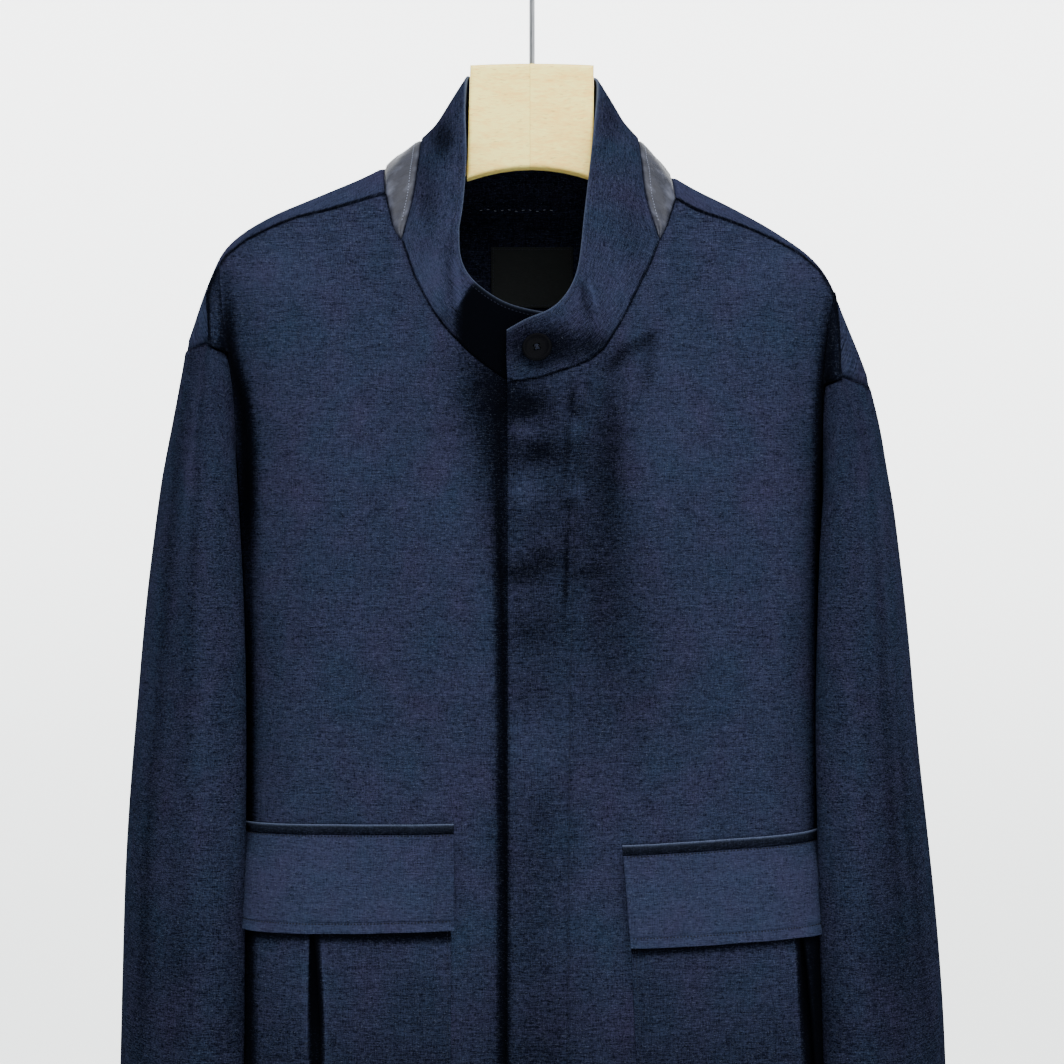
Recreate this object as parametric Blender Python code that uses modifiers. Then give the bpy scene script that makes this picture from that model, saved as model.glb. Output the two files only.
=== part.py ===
# A linen jacket with a stand collar, hung on a wooden neck-block hanger.
# The front faces -Y and the origin is the inside of the hook's crown.
# Seam points are in centimetres: out from the centre plane, along Y, and down
# from the level of the shoulder neck points. Armholes give only the last two,
# because they follow the side of the body. Everything else is in metres.
import math

import bpy
from mathutils import Vector

NECK_LEVEL = -0.195
HEM_DROP = 0.76
SLEEVE_DROP = 0.70
CLOTH = 0.0015
COLLAR_CLOTH = 0.0020
LEATHER = 0.0014
SEAM_GAP = 0.0003
LAP_STEP = 0.0045
CM = 0.01

RIGHT = -1
LEFT = 1

# The ring of the body by height: drop, half width, front depth, back depth, squareness
TORSO = (
    (0.00, 0.226, 0.066, 0.052, 1.9),
    (0.05, 0.225, 0.078, 0.066, 2.0),
    (0.08, 0.223, 0.084, 0.075, 2.05),
    (0.12, 0.219, 0.089, 0.085, 2.15),
    (0.16, 0.216, 0.093, 0.093, 2.3),
    (0.20, 0.213, 0.096, 0.099, 2.5),
    (0.26, 0.210, 0.099, 0.104, 2.8),
    (0.34, 0.2075, 0.101, 0.108, 3.0),
    (0.45, 0.208, 0.103, 0.110, 3.2),
    (0.60, 0.210, 0.105, 0.112, 3.2),
    (0.76, 0.213, 0.107, 0.113, 3.1),
)

# Soft vertical folds of the body: place round the ring, width, depth, drop where each starts
FRONT_FOLDS = (
    (0.30, 0.050, 0.0022, 0.24),
    (0.52, 0.060, -0.0030, 0.30),
    (0.74, 0.050, 0.0025, 0.40),
)
BACK_FOLDS = (
    (0.18, 0.060, -0.0040, 0.22),
    (0.42, 0.060, 0.0050, 0.20),
    (0.66, 0.070, -0.0060, 0.26),
    (0.86, 0.040, 0.0040, 0.42),
)

# Where the corners of the panels stand round a quarter of the ring
AT_APEX = 0.345
AT_GUSSET = 0.385
AT_TIP = 0.80
AT_DROP_END = 0.86
AT_BACK_APEX = 0.32

# How far below its top seam a column still leans to it, and how soon it starts to leave
SETTLE = 0.11
FRONT_BEND = 0.9
BACK_BEND = 0.62
FOLD_GROWTH = 0.25
SIDE_FADE = 0.12

# Where the under lap of the wearer's right front has left its depth, and over what width
LAP_END = 0.22
LAP_FADE = 0.14

# Where each front's edge lies past the centre, as a part of the quarter ring
FRONT_START = {RIGHT: -0.073, LEFT: -0.064}

SEAMS = {
    RIGHT: {
        "neckline": ((-2.0, -8.4, 16.5), (0.0, -8.6, 16.4), (1.8, -8.8, 15.9), (4.2, -8.7, 14.2),
                     (5.9, -8.4, 12.5), (6.9, -8.0, 11.2), (8.2, -7.2, 8.8), (9.3, -6.0, 5.8)),
        "gusset_front": ((9.3, -6.0, 5.8), (9.85, -5.6, 5.0), (10.5, -4.2, 2.3)),
        "shoulder": ((10.5, -4.2, 2.3), (12.7, -4.3, 3.0), (14.8, -4.3, 3.6), (17.0, -4.2, 4.1),
                     (19.0, -4.0, 4.9), (20.7, -3.4, 5.7), (22.1, -2.7, 6.7), (22.7, -2.3, 7.5)),
        "drop": ((22.7, -2.3, 7.5), (23.4, -2.4, 9.3), (23.3, -3.0, 11.2), (23.15, -3.6, 13.0)),
        "valley": ((22.7, -2.3, 7.5), (22.45, -2.9, 10.1), (22.2, -3.3, 12.2), (21.9, -3.6, 13.8)),
        "armhole_front": ((-3.6, 13.8), (-3.7, 16.5), (-3.3, 20.5), (-2.5, 25.0), (-1.4, 30.0), (0.0, 33.5)),
        "ridge": ((10.7, 0.5, 0.0), (12.5, 0.5, 0.9), (14.5, 0.5, 1.75), (16.6, 0.5, 2.65), (18.6, 0.5, 3.5),
                  (20.3, 0.5, 4.4), (21.6, 0.5, 5.3), (22.5, 0.5, 6.2), (23.0, 0.5, 7.1)),
        "ridge_drop": ((23.0, 0.5, 7.1), (23.7, 0.5, 8.8), (24.4, 0.5, 10.6), (24.9, 0.5, 12.2),
                       (25.4, 0.5, 13.5)),
        "back_valley": ((23.0, 0.5, 7.1), (22.7, 2.0, 9.6), (22.3, 3.3, 12.0), (21.9, 4.2, 14.2)),
        "armhole_back": ((4.2, 14.2), (4.3, 17.0), (3.7, 21.0), (2.8, 25.5), (1.6, 30.0), (0.0, 33.5)),
        "gusset_inner": ((9.3, -6.0, 5.8), (8.55, -4.4, 2.6), (8.3, -2.8, 0.4), (8.1, 0.3, -2.0),
                         (8.2, 3.0, -0.6), (8.3, 5.0, 1.0)),
        "gusset_back": ((10.7, 0.5, 0.0), (10.1, 3.0, 0.3), (8.3, 5.0, 1.0)),
        "back_neckline": ((8.3, 5.0, 1.0), (5.5, 6.4, 0.8), (2.6, 7.0, 0.6), (0.0, 7.1, 0.5)),
        "top_front": ((-2.0, -7.7, 11.1), (-0.6, -7.9, 11.1), (1.76, -8.0, 10.5), (3.54, -7.6, 9.4),
                      (4.6, -6.9, 8.25), (5.09, -6.3, 6.95), (5.18, -5.45, 5.0)),
        "top_side": ((5.18, -5.45, 5.0), (4.93, -4.5, 3.2), (4.72, -2.6, -0.5), (4.83, -0.9, -3.9),
                     (4.74, 0.3, -6.5), (4.4, 2.6, -7.0)),
        "top_back": ((4.4, 2.6, -7.0), (2.8, 4.1, -7.1), (0.0, 4.6, -7.1)),
    },
    LEFT: {
        "neckline": ((-1.75, -9.5, 16.2), (0.6, -9.4, 15.8), (2.8, -9.1, 15.1), (4.0, -8.9, 14.6),
                     (5.1, -8.6, 13.7), (6.4, -8.0, 11.6), (7.5, -7.3, 9.4), (8.5, -6.6, 7.4), (9.1, -6.0, 5.8)),
        "gusset_front": ((9.1, -6.0, 5.8), (9.6, -5.5, 4.8), (10.3, -4.2, 2.7)),
        "shoulder": ((10.3, -4.2, 2.7), (11.9, -4.3, 3.6), (14.3, -4.3, 4.4), (16.6, -4.1, 5.3),
                     (19.1, -3.5, 6.5), (20.8, -2.7, 7.8), (21.9, -2.2, 9.5)),
        "drop": ((21.9, -2.2, 9.5), (22.1, -2.5, 11.6), (22.15, -3.0, 13.6), (22.1, -3.6, 15.4)),
        "valley": ((21.9, -2.2, 9.5), (21.5, -3.0, 11.8), (21.2, -3.5, 14.0), (21.0, -3.8, 16.1)),
        "armhole_front": ((-3.8, 16.1), (-3.7, 18.5), (-3.3, 22.0), (-2.5, 26.0), (-1.5, 30.0), (0.0, 33.5)),
        "ridge": ((10.1, 0.5, 0.65), (12.0, 0.5, 1.75), (13.7, 0.5, 2.6), (15.4, 0.5, 3.5), (17.0, 0.5, 4.4),
                  (18.4, 0.5, 5.3), (19.7, 0.5, 6.2), (20.7, 0.5, 7.1), (21.4, 0.5, 8.0), (22.0, 0.5, 9.1)),
        "ridge_drop": ((22.0, 0.5, 9.1), (22.6, 0.5, 10.6), (23.2, 0.5, 12.0), (23.9, 0.5, 13.6),
                       (24.85, 0.5, 16.2)),
        "back_valley": ((22.0, 0.5, 9.1), (21.9, 2.0, 11.6), (21.6, 3.4, 14.2), (21.3, 4.2, 16.6)),
        "armhole_back": ((4.2, 16.6), (4.2, 19.0), (3.6, 22.5), (2.7, 26.5), (1.6, 30.2), (0.0, 33.5)),
        "gusset_inner": ((9.1, -6.0, 5.8), (8.2, -4.4, 2.6), (7.95, -2.4, -0.1), (7.8, 0.3, -2.0),
                         (7.95, 3.0, -0.6), (8.3, 5.0, 1.0)),
        "gusset_back": ((10.1, 0.5, 0.65), (9.8, 3.0, 0.6), (8.3, 5.0, 1.0)),
        "back_neckline": ((8.3, 5.0, 1.0), (5.5, 6.4, 0.8), (2.6, 7.0, 0.6), (0.0, 7.1, 0.5)),
        "top_front": ((-1.8, -9.5, 12.5), (-0.4, -9.2, 11.7), (1.2, -8.8, 11.0), (2.2, -8.2, 10.1),
                      (2.98, -7.3, 8.7), (3.35, -6.5, 7.2), (3.7, -5.0, 4.0)),
        "top_side": ((3.7, -5.0, 4.0), (4.05, -3.2, 1.15), (4.45, -1.7, -2.6), (4.76, 0.3, -6.2),
                     (4.4, 2.6, -7.0)),
        "top_back": ((4.4, 2.6, -7.0), (2.8, 4.1, -7.1), (0.0, 4.6, -7.1)),
    },
}

# Angles round the sleeve, from its outer side, that the corners of the armhole lie at
SEAM_ANGLE = 48
VALLEY_ANGLE = 100
UNDERARM_ANGLE = 180
BACK_VALLEY_ANGLE = 262
DROP_BULGE = 0.008

# Section of a sleeve by height: drop, outer edge, inner edge, middle, half depth, lean to the body
SLEEVE = {
    RIGHT: (
        (0.13, 0.2540, 0.2150, 0.003, 0.052, 0.006),
        (0.20, 0.2690, 0.2090, 0.002, 0.068, 0.014),
        (0.30, 0.2830, 0.2060, 0.002, 0.075, 0.020),
        (0.40, 0.2920, 0.2035, 0.001, 0.077, 0.023),
        (0.50, 0.2990, 0.2020, 0.000, 0.076, 0.024),
        (0.60, 0.3020, 0.2005, 0.000, 0.074, 0.024),
        (0.70, 0.3040, 0.2010, 0.000, 0.072, 0.024),
    ),
    LEFT: (
        (0.155, 0.2450, 0.2070, 0.003, 0.052, 0.006),
        (0.20, 0.2590, 0.2065, 0.002, 0.066, 0.012),
        (0.30, 0.2740, 0.2045, 0.002, 0.075, 0.019),
        (0.40, 0.2830, 0.2030, 0.001, 0.077, 0.022),
        (0.50, 0.2930, 0.2030, 0.000, 0.076, 0.024),
        (0.60, 0.3020, 0.2040, 0.000, 0.074, 0.024),
        (0.70, 0.3060, 0.2060, 0.000, 0.072, 0.024),
    ),
}
SLEEVE_CLEAR = 0.0085
SLEEVE_SETTLE = 0.04
SLEEVE_LEAVE = 0.03
SLEEVE_ROUNDNESS = 0.85
SLEEVE_CROWDING = 1.15
SEAM_STEP = 0.0028

# How far the cloth stops short of each kind of seam line
TOP_TRIM = 0.0006
SIDE_TRIM = 0.00015
END_TRIM = 0.0009
ARMHOLE_TRIM = 0.0012

# Pockets: inner edge, width and drops of the flap and of the pocket, pleat from the inner edge
POCKETS = {
    RIGHT: {"inner": 0.0555, "width": 0.200, "flap_top": 0.471, "flap_drop": 0.076, "tilt": 0.000,
            "bottom": 0.695, "pleat": 0.099},
    LEFT: {"inner": 0.0640, "width": 0.200, "flap_top": 0.486, "flap_drop": 0.070, "tilt": -0.045,
           "bottom": 0.708, "pleat": 0.118},
}
POCKET_START = 0.018
FLAP_OVER = 0.002
PATCH_RISE = 0.0012

BUTTON_RADIUS = 0.0105
BUTTON_HEIGHT = 0.0032
BUTTON_PLACE = (0.0035, -0.1005, 0.1375)
BUTTON_TILT = 76
BUTTON_TURN = -4

LABEL_HALF = 0.031
LABEL_DROPS = (0.052, 0.097)
LABEL_THICK = 0.0008
LABEL_CLEAR = 0.0006
LABEL_QUARTER = 0.255

BLOCK_TOP_HALF = 0.0450
BLOCK_FOOT_HALF = {RIGHT: 0.0475, LEFT: 0.0450}
BLOCK_TOP = -0.0745
BLOCK_FOOT = 0.0095
BLOCK_ARCH = 0.0085
BLOCK_CROWN = 0.0012
BLOCK_DEPTH = 0.024
BLOCK_EDGE = 0.0026

ARM_HALF_DEPTH = 0.0065
ARM_HALF_HEIGHT = 0.0065
ARM_ROOT = {RIGHT: (0.0480, 0.0), LEFT: (0.0456, 0.0)}
ARM_NECK = (0.0640, 0.0005)
ARM_DROOP = 0.0024
ARM_START = 0.06
ARM_REACH = 0.77
ARM_PLACE_Y = 0.0025
ARM_TAPER = (1.0, 0.85, 0.6)

ROD_RADIUS = 0.0022
HOOK_RADIUS = 0.0230
HOOK_TIP_TURN = 205
HOOK_NECK_TURN = -38
HOOK_NECK_FALL = 0.036
HOOK_NECK_RUN = 0.009
HOOK_NECK_SIDE = 0.004
HOOK_STEM = 0.030


def clamp(value):
    return min(max(value, 0.0), 1.0)


def ease(value):
    value = clamp(value)
    return value * value * (3 - 2 * value)


def slope(rows, k, c):
    low = max(k - 1, 0)
    high = min(k + 1, len(rows) - 1)
    return (rows[high][c] - rows[low][c]) / (rows[high][0] - rows[low][0])


# The values at a place, from a smooth curve through the rows
def between(rows, place):
    k = 0
    while k < len(rows) - 2 and place > rows[k + 1][0]:
        k += 1
    first = rows[k]
    second = rows[k + 1]
    span = second[0] - first[0]
    t = clamp((place - first[0]) / span)
    values = []
    for c in range(1, len(first)):
        start = slope(rows, k, c) * span
        end = slope(rows, k + 1, c) * span
        values.append((2 * t ** 3 - 3 * t ** 2 + 1) * first[c] + (t ** 3 - 2 * t ** 2 + t) * start
                      + (3 * t ** 2 - 2 * t ** 3) * second[c] + (t ** 3 - t ** 2) * end)
    return values


def keyed_by_length(points):
    places = [0.0]
    for first, second in zip(points, points[1:]):
        places.append(places[-1] + math.dist(first, second))
    return [(place / places[-1], *point) for place, point in zip(places, points)]


# A point of a seam, as out, y and drop in metres
def on_seam(side, name, part):
    rows = keyed_by_length(SEAMS[side][name])
    return Vector(between(rows, part)) * CM


def power(value, exponent):
    return math.copysign(abs(value) ** exponent, value)


QUARTER_STEPS = 40


def quarter_ring(drop, is_back):
    half_width, front_depth, back_depth, squareness = between(TORSO, drop)
    depth = back_depth if is_back else -front_depth
    points = []
    for k in range(QUARTER_STEPS + 1):
        angle = math.pi / 2 * k / QUARTER_STEPS
        points.append((half_width * power(math.sin(angle), 2 / squareness),
                       depth * power(math.cos(angle), 2 / squareness)))
    lengths = [0.0]
    for first, second in zip(points, points[1:]):
        lengths.append(lengths[-1] + math.dist(first, second))
    return points, lengths


RINGS = {}


# Out and y of the body's ring at a part of its quarter, 0 at the centre and 1 at the side seam
def on_ring(part, drop, is_back):
    key = (round(drop, 5), is_back)
    if key not in RINGS:
        RINGS[key] = quarter_ring(drop, is_back)
    points, lengths = RINGS[key]
    place = abs(part) * lengths[-1]
    k = 0
    while k < len(points) - 2 and place > lengths[k + 1]:
        k += 1
    t = clamp((place - lengths[k]) / (lengths[k + 1] - lengths[k]))
    out = points[k][0] + (points[k + 1][0] - points[k][0]) * t
    y = points[k][1] + (points[k + 1][1] - points[k][1]) * t
    folds = BACK_FOLDS if is_back else FRONT_FOLDS
    lift = 0.0
    for middle, width, depth, start in folds:
        lift += depth * math.exp(-((abs(part) - middle) / width) ** 2) * ease((drop - start) / FOLD_GROWTH)
    edge = ease((1 - abs(part)) / SIDE_FADE)
    away = Vector((out * 0.25, y)).normalized()
    out += away.x * lift * edge
    y += away.y * lift * edge
    return Vector((math.copysign(out, part), y))


# Half width of the body at a depth, for what hangs beside it
def body_reach(y, drop):
    half_width, front_depth, back_depth, squareness = between(TORSO, drop)
    depth = back_depth if y > 0 else front_depth
    inside = 1 - min(abs(y) / depth, 1.0) ** squareness
    return half_width * inside ** (1 / squareness)


# How far the valley at the shoulder's end still spreads the side of the body below it
def valley_spread(side, drop, is_back):
    corner = on_seam(side, "back_valley" if is_back else "valley", 1)
    spread = corner.x - body_reach(corner.y, corner.z)
    return spread * math.exp(-(max(drop - corner.z, 0.0) / SETTLE) ** FRONT_BEND)


def on_armhole(side, part, is_back):
    rows = keyed_by_length(SEAMS[side]["armhole_back" if is_back else "armhole_front"])
    y, drop = (value * CM for value in between(rows, part))
    return Vector((body_reach(y, drop) + valley_spread(side, drop, is_back), y, drop))


def lap_shift(side, part):
    return LAP_STEP * ease((LAP_END - part) / LAP_FADE) if side == RIGHT else 0.0


def front_top(side, part):
    start = FRONT_START[side]
    if part <= AT_APEX:
        return on_seam(side, "neckline", (part - start) / (AT_APEX - start))
    if part <= AT_GUSSET:
        return on_seam(side, "gusset_front", (part - AT_APEX) / (AT_GUSSET - AT_APEX))
    if part <= AT_TIP:
        return on_seam(side, "shoulder", (part - AT_GUSSET) / (AT_TIP - AT_GUSSET))
    if part <= AT_DROP_END:
        return on_seam(side, "valley", (part - AT_TIP) / (AT_DROP_END - AT_TIP))
    return on_armhole(side, (part - AT_DROP_END) / (1 - AT_DROP_END), False)


def back_top(side, part):
    if part <= AT_BACK_APEX:
        return on_seam(side, "back_neckline", 1 - part / AT_BACK_APEX)
    if part <= AT_GUSSET:
        return on_seam(side, "gusset_back", 1 - (part - AT_BACK_APEX) / (AT_GUSSET - AT_BACK_APEX))
    if part <= AT_TIP:
        return on_seam(side, "ridge", (part - AT_GUSSET) / (AT_TIP - AT_GUSSET))
    if part <= AT_DROP_END:
        return on_seam(side, "back_valley", (part - AT_TIP) / (AT_DROP_END - AT_TIP))
    return on_armhole(side, (part - AT_DROP_END) / (1 - AT_DROP_END), True)


def body_point(side, part, drop, is_back):
    top = back_top(side, part) if is_back else front_top(side, part)
    here = on_ring(part, drop, is_back)
    there = on_ring(part, top.z, is_back)
    if not is_back:
        here.y += lap_shift(side, part)
        there.y += lap_shift(side, part)
    bend = FRONT_BEND
    if is_back:
        bend = BACK_BEND + (FRONT_BEND - BACK_BEND) * ease((part - 0.66) / 0.16)
    keep = math.exp(-(max(drop - top.z, 0.0) / SETTLE) ** bend)
    spot = here + (top.xy - there) * keep
    return Vector((side * spot.x, spot.y, NECK_LEVEL - drop))


# The strip of the back that lies over the shoulder, from the forward seam to the ridge
def over_shoulder(side, part, t):
    if part <= AT_TIP:
        seam = on_seam(side, "shoulder", (part - AT_GUSSET) / (AT_TIP - AT_GUSSET))
        ridge = back_top(side, part)
    else:
        seam = on_seam(side, "drop", (part - AT_TIP) / (AT_DROP_END - AT_TIP))
        ridge = on_seam(side, "ridge_drop", (part - AT_TIP) / (AT_DROP_END - AT_TIP))
    bend = Vector((ridge.x, ridge.y + 0.7 * (seam.y - ridge.y), ridge.z))
    return seam * (1 - t) ** 2 + bend * 2 * t * (1 - t) + ridge * t ** 2


# The dropped end of the shoulder, between its outer line and the valley beside the body
def shoulder_end(side, along, across, is_back):
    outer = on_seam(side, "ridge_drop" if is_back else "drop", along)
    inner = on_seam(side, "back_valley" if is_back else "valley", along)
    spot = outer.lerp(inner, across)
    swell = DROP_BULGE * math.sin(math.pi * across ** 0.8) * along
    spot.y += swell if is_back else -swell
    spot.x += swell * 0.5
    return spot


def placed(side, spot):
    return Vector((side * spot.x, spot.y, NECK_LEVEL - spot.z))


def steps(first, last, count):
    return [first + (last - first) * k / count for k in range(count)]


def front_columns(side):
    return (steps(FRONT_START[side], AT_APEX, 8) + steps(AT_APEX, AT_GUSSET, 2) + steps(AT_GUSSET, AT_TIP, 7)
            + steps(AT_TIP, AT_DROP_END, 3) + steps(AT_DROP_END, 1, 6) + [1.0])


def back_columns():
    return (steps(0, AT_BACK_APEX, 4) + steps(AT_BACK_APEX, AT_GUSSET, 2) + steps(AT_GUSSET, AT_TIP, 7)
            + steps(AT_TIP, AT_DROP_END, 3) + steps(AT_DROP_END, 1, 6) + [1.0])


BODY_ROWS = 15


# The rows stand closer under the shoulder ridge, where the back bends most
def body_drops(part, top, is_back):
    crowding = 1.0 + (0.5 if is_back else 0.1) * ease((AT_DROP_END - part) / 0.1)
    return [top + (HEM_DROP - top) * (k / BODY_ROWS) ** crowding for k in range(BODY_ROWS + 1)]


def pull_in(first, second, amount):
    return first + (second - first).normalized() * amount


# Sets the rim of a grid of points back from its seam lines by an amount for each side
def trimmed(grid, top=0.0, bottom=0.0, start=0.0, end=0.0):
    grid = [list(row) for row in grid]
    if top:
        grid[0] = [pull_in(a, b, top) for a, b in zip(grid[0], grid[1])]
    if bottom:
        grid[-1] = [pull_in(a, b, bottom) for a, b in zip(grid[-1], grid[-2])]
    for row in grid:
        if start:
            row[0] = pull_in(row[0], row[1], start)
        if end:
            row[-1] = pull_in(row[-1], row[-2], end)
    return grid


def material(name, colour, roughness, metallic=0.0):
    made = bpy.data.materials.new(name)
    made.use_nodes = True
    shader = made.node_tree.nodes["Principled BSDF"]
    shader.inputs["Base Color"].default_value = (*colour, 1)
    shader.inputs["Roughness"].default_value = roughness
    shader.inputs["Metallic"].default_value = metallic
    return made


class Model:
    def __init__(self):
        for old in list(bpy.data.objects):
            bpy.data.objects.remove(old, do_unlink=True)
        self.collection = bpy.data.collections.new("Jacket on a hanger")
        bpy.context.scene.collection.children.link(self.collection)
        self.linen = material("linen", (0.022, 0.034, 0.066), 0.85)
        self.leather = material("leather", (0.115, 0.125, 0.165), 0.45)
        self.horn = material("button", (0.012, 0.012, 0.016), 0.35)
        self.label = material("label", (0.014, 0.016, 0.018), 0.8)
        self.wood = material("wood", (0.80, 0.71, 0.50), 0.45)
        self.steel = material("steel", (0.55, 0.55, 0.56), 0.25, 1.0)

    def add(self, name, data, finish):
        made = bpy.data.objects.new(name, data)
        made.data.materials.append(finish)
        self.collection.objects.link(made)
        return made

    # An open sheet from grids of points, given its thickness on both sides of them
    def sheet(self, name, grids, finish, thickness, closed=False):
        points = []
        faces = []
        found = {}
        for grid in grids:
            marks = []
            for row in grid:
                marks.append([])
                for spot in row:
                    key = tuple(round(value, 6) for value in spot)
                    if key not in found:
                        found[key] = len(points)
                        points.append(spot)
                    marks[-1].append(found[key])
            for upper, lower in zip(marks, marks[1:]):
                last = len(upper) if closed else len(upper) - 1
                for k in range(last):
                    nearest = (k + 1) % len(upper)
                    corners = dict.fromkeys((upper[k], lower[k], lower[nearest], upper[nearest]))
                    if len(corners) > 2:
                        faces.append(tuple(corners))
        mesh = bpy.data.meshes.new(name)
        mesh.from_pydata(points, [], faces)
        mesh.validate()
        mesh.shade_smooth()
        made = self.add(name, mesh, finish)
        shell = made.modifiers.new("Thickness", "SOLIDIFY")
        shell.thickness = thickness
        shell.offset = 0
        return made


def front_grid(side):
    columns = front_columns(side)
    grid = []
    for row in range(BODY_ROWS + 1):
        grid.append([body_point(side, part, body_drops(part, front_top(side, part).z, False)[row], False)
                     for part in columns])
    if side == LEFT:
        grid = [row[::-1] for row in grid]
        return trimmed(grid, top=TOP_TRIM, start=SIDE_TRIM)
    return trimmed(grid, top=TOP_TRIM, end=SIDE_TRIM)


OVER_STEPS = 3
END_STEPS = 3
TINY = 1e-6


# The patch of the shoulder's end from its outer line to the valley
def end_patch(side, is_back, outer, inner):
    patch = []
    for row in range(END_STEPS + 1):
        line = []
        for k in range(END_STEPS + 1):
            spot = placed(side, shoulder_end(side, row / END_STEPS, k / END_STEPS, is_back))
            line.append(spot)
        line[0] = outer[row] if outer else line[0]
        line[-1] = inner[row]
        patch.append(line)
    patch[0] = [patch[0][-1]] * len(patch[0])
    bottom = patch[-1]
    for k in range(len(bottom) - 1):
        bottom[k] = pull_in(bottom[k], patch[-2][k], END_TRIM)
    return patch


def front(model, side, name):
    grid = front_grid(side)
    first = front_columns(side).index(AT_TIP)
    count = len(grid[0])
    if side == LEFT:
        inner = [grid[0][count - 1 - first - k] for k in range(END_STEPS + 1)]
    else:
        inner = [grid[0][first + k] for k in range(END_STEPS + 1)]
    patch = end_patch(side, False, None, inner)
    for row in patch[1:]:
        row[0] = pull_in(row[0], row[1], END_TRIM)
    if side == RIGHT:
        patch = [row[::-1] for row in patch]
    model.sheet(name, [grid, patch], model.linen, CLOTH)


def back(model):
    columns = back_columns()
    parts = [(LEFT, part) for part in columns[::-1]] + [(RIGHT, part) for part in columns[1:]]
    grid = []
    for row in range(BODY_ROWS + 1):
        grid.append([body_point(side, part, body_drops(part, back_top(side, part).z, True)[row], True)
                     for side, part in parts])
    over = [k for k, (side, part) in enumerate(parts) if AT_GUSSET - TINY <= part <= AT_DROP_END + TINY]
    for k in range(len(parts)):
        if k not in over:
            grid[0][k] = pull_in(grid[0][k], grid[1][k], TOP_TRIM)
    for row in grid:
        row[0] = pull_in(row[0], row[1], SIDE_TRIM)
        row[-1] = pull_in(row[-1], row[-2], SIDE_TRIM)
    grids = [grid]
    for side in (LEFT, RIGHT):
        inner = [(k, part) for k, (here, part) in enumerate(parts) if here == side and k in over]
        if side == LEFT:
            inner = inner[::-1]
        cap = []
        for t in steps(0, 1, OVER_STEPS):
            cap.append([placed(side, over_shoulder(side, part, t)) for k, part in inner])
        line = [grid[0][k] if part <= AT_TIP + TINY else placed(side, over_shoulder(side, part, 1.0))
                for k, part in inner]
        cap.append(line)
        cap = trimmed(cap, top=TOP_TRIM)
        for row in cap[:-1]:
            row[0] = pull_in(row[0], row[1], TOP_TRIM)
        for row in cap:
            row[-1] = pull_in(row[-1], row[-2], END_TRIM)
        outer = cap[-1][-1 - END_STEPS:]
        valley = [grid[0][k] for k, part in inner][-1 - END_STEPS:]
        patch = end_patch(side, True, outer, valley)
        patch[-1][0] = outer[-1]
        if side == LEFT:
            cap = [row[::-1] for row in cap]
        else:
            patch = [row[::-1] for row in patch]
        grids += [cap, patch]
    model.sheet("back", grids, model.linen, CLOTH)


def sleeve_section(side, angle, drop):
    outer, inner, middle, half_depth, lean = between(SLEEVE[side], drop)
    half = (outer - inner) / 2
    flat = math.sqrt(half ** 2 - lean ** 2)
    turn = math.radians(angle)
    across = power(math.cos(turn), SLEEVE_ROUNDNESS)
    along = power(math.sin(turn), SLEEVE_ROUNDNESS)
    return Vector(((outer + inner) / 2 + flat * across - lean * along, middle - half_depth * along))


# The armhole, from the outer top round the front to the underarm and up the back
def armhole(side):
    ring = []
    for k in range(OVER_STEPS):
        t = k / OVER_STEPS
        ring.append((over_shoulder(side, AT_DROP_END, 1 - t), SEAM_ANGLE * t))
    for k in range(END_STEPS):
        t = k / END_STEPS
        spot = shoulder_end(side, 1, t, False) + Vector((SEAM_STEP * t, 0, 0))
        ring.append((spot, SEAM_ANGLE + (VALLEY_ANGLE - SEAM_ANGLE) * t))
    for k in range(6):
        t = k / 6
        spot = on_armhole(side, t, False) + Vector((SEAM_STEP, 0, 0))
        ring.append((spot, VALLEY_ANGLE + (UNDERARM_ANGLE - VALLEY_ANGLE) * t))
    for k in range(6):
        t = k / 6
        spot = on_armhole(side, 1 - t, True) + Vector((SEAM_STEP, 0, 0))
        ring.append((spot, UNDERARM_ANGLE + (BACK_VALLEY_ANGLE - UNDERARM_ANGLE) * t))
    for k in range(END_STEPS):
        t = k / END_STEPS
        spot = shoulder_end(side, 1, 1 - t, True) + Vector((SEAM_STEP * (1 - t), 0, 0))
        ring.append((spot, BACK_VALLEY_ANGLE + (360 - BACK_VALLEY_ANGLE) * t))
    return ring


def sleeve_point(side, start, angle, drop):
    here = sleeve_section(side, angle, drop)
    there = sleeve_section(side, angle, start.z)
    keep = math.exp(-max(drop - start.z, 0.0) / SLEEVE_SETTLE)
    spot = here + (start.xy - there) * keep
    beside = body_reach(spot.y, drop) + valley_spread(side, drop, spot.y > 0)
    clear = SEAM_STEP + (SLEEVE_CLEAR - SEAM_STEP) * ease((drop - start.z) / SLEEVE_LEAVE)
    spot.x = max(spot.x, beside + clear)
    return Vector((side * spot.x, spot.y, NECK_LEVEL - drop))


SLEEVE_ROWS = 15


def sleeve(model, side, name):
    ring = armhole(side)
    grid = []
    for row in range(SLEEVE_ROWS + 1):
        part = (row / SLEEVE_ROWS) ** SLEEVE_CROWDING
        grid.append([sleeve_point(side, start, angle, start.z + (SLEEVE_DROP - start.z) * part)
                     for start, angle in ring])
    if side == RIGHT:
        grid = [row[::-1] for row in grid]
    grid = trimmed(grid, top=ARMHOLE_TRIM)
    model.sheet(name, [grid], model.linen, CLOTH, closed=True)


def collar_base(side):
    apex = [on_seam(side, "neckline", k / 8) for k in range(8)]
    over = [on_seam(side, "gusset_inner", k / 6) for k in range(6)]
    behind = [on_seam(side, "back_neckline", k / 4) for k in range(5)]
    return apex + over + behind


def collar_top(side):
    ahead = [on_seam(side, "top_front", k / 8) for k in range(8)]
    beside = [on_seam(side, "top_side", k / 6) for k in range(6)]
    behind = [on_seam(side, "top_back", k / 4) for k in range(5)]
    return ahead + beside + behind


COLLAR_ROWS = 4
COLLAR_ROLL = 0.003


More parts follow.
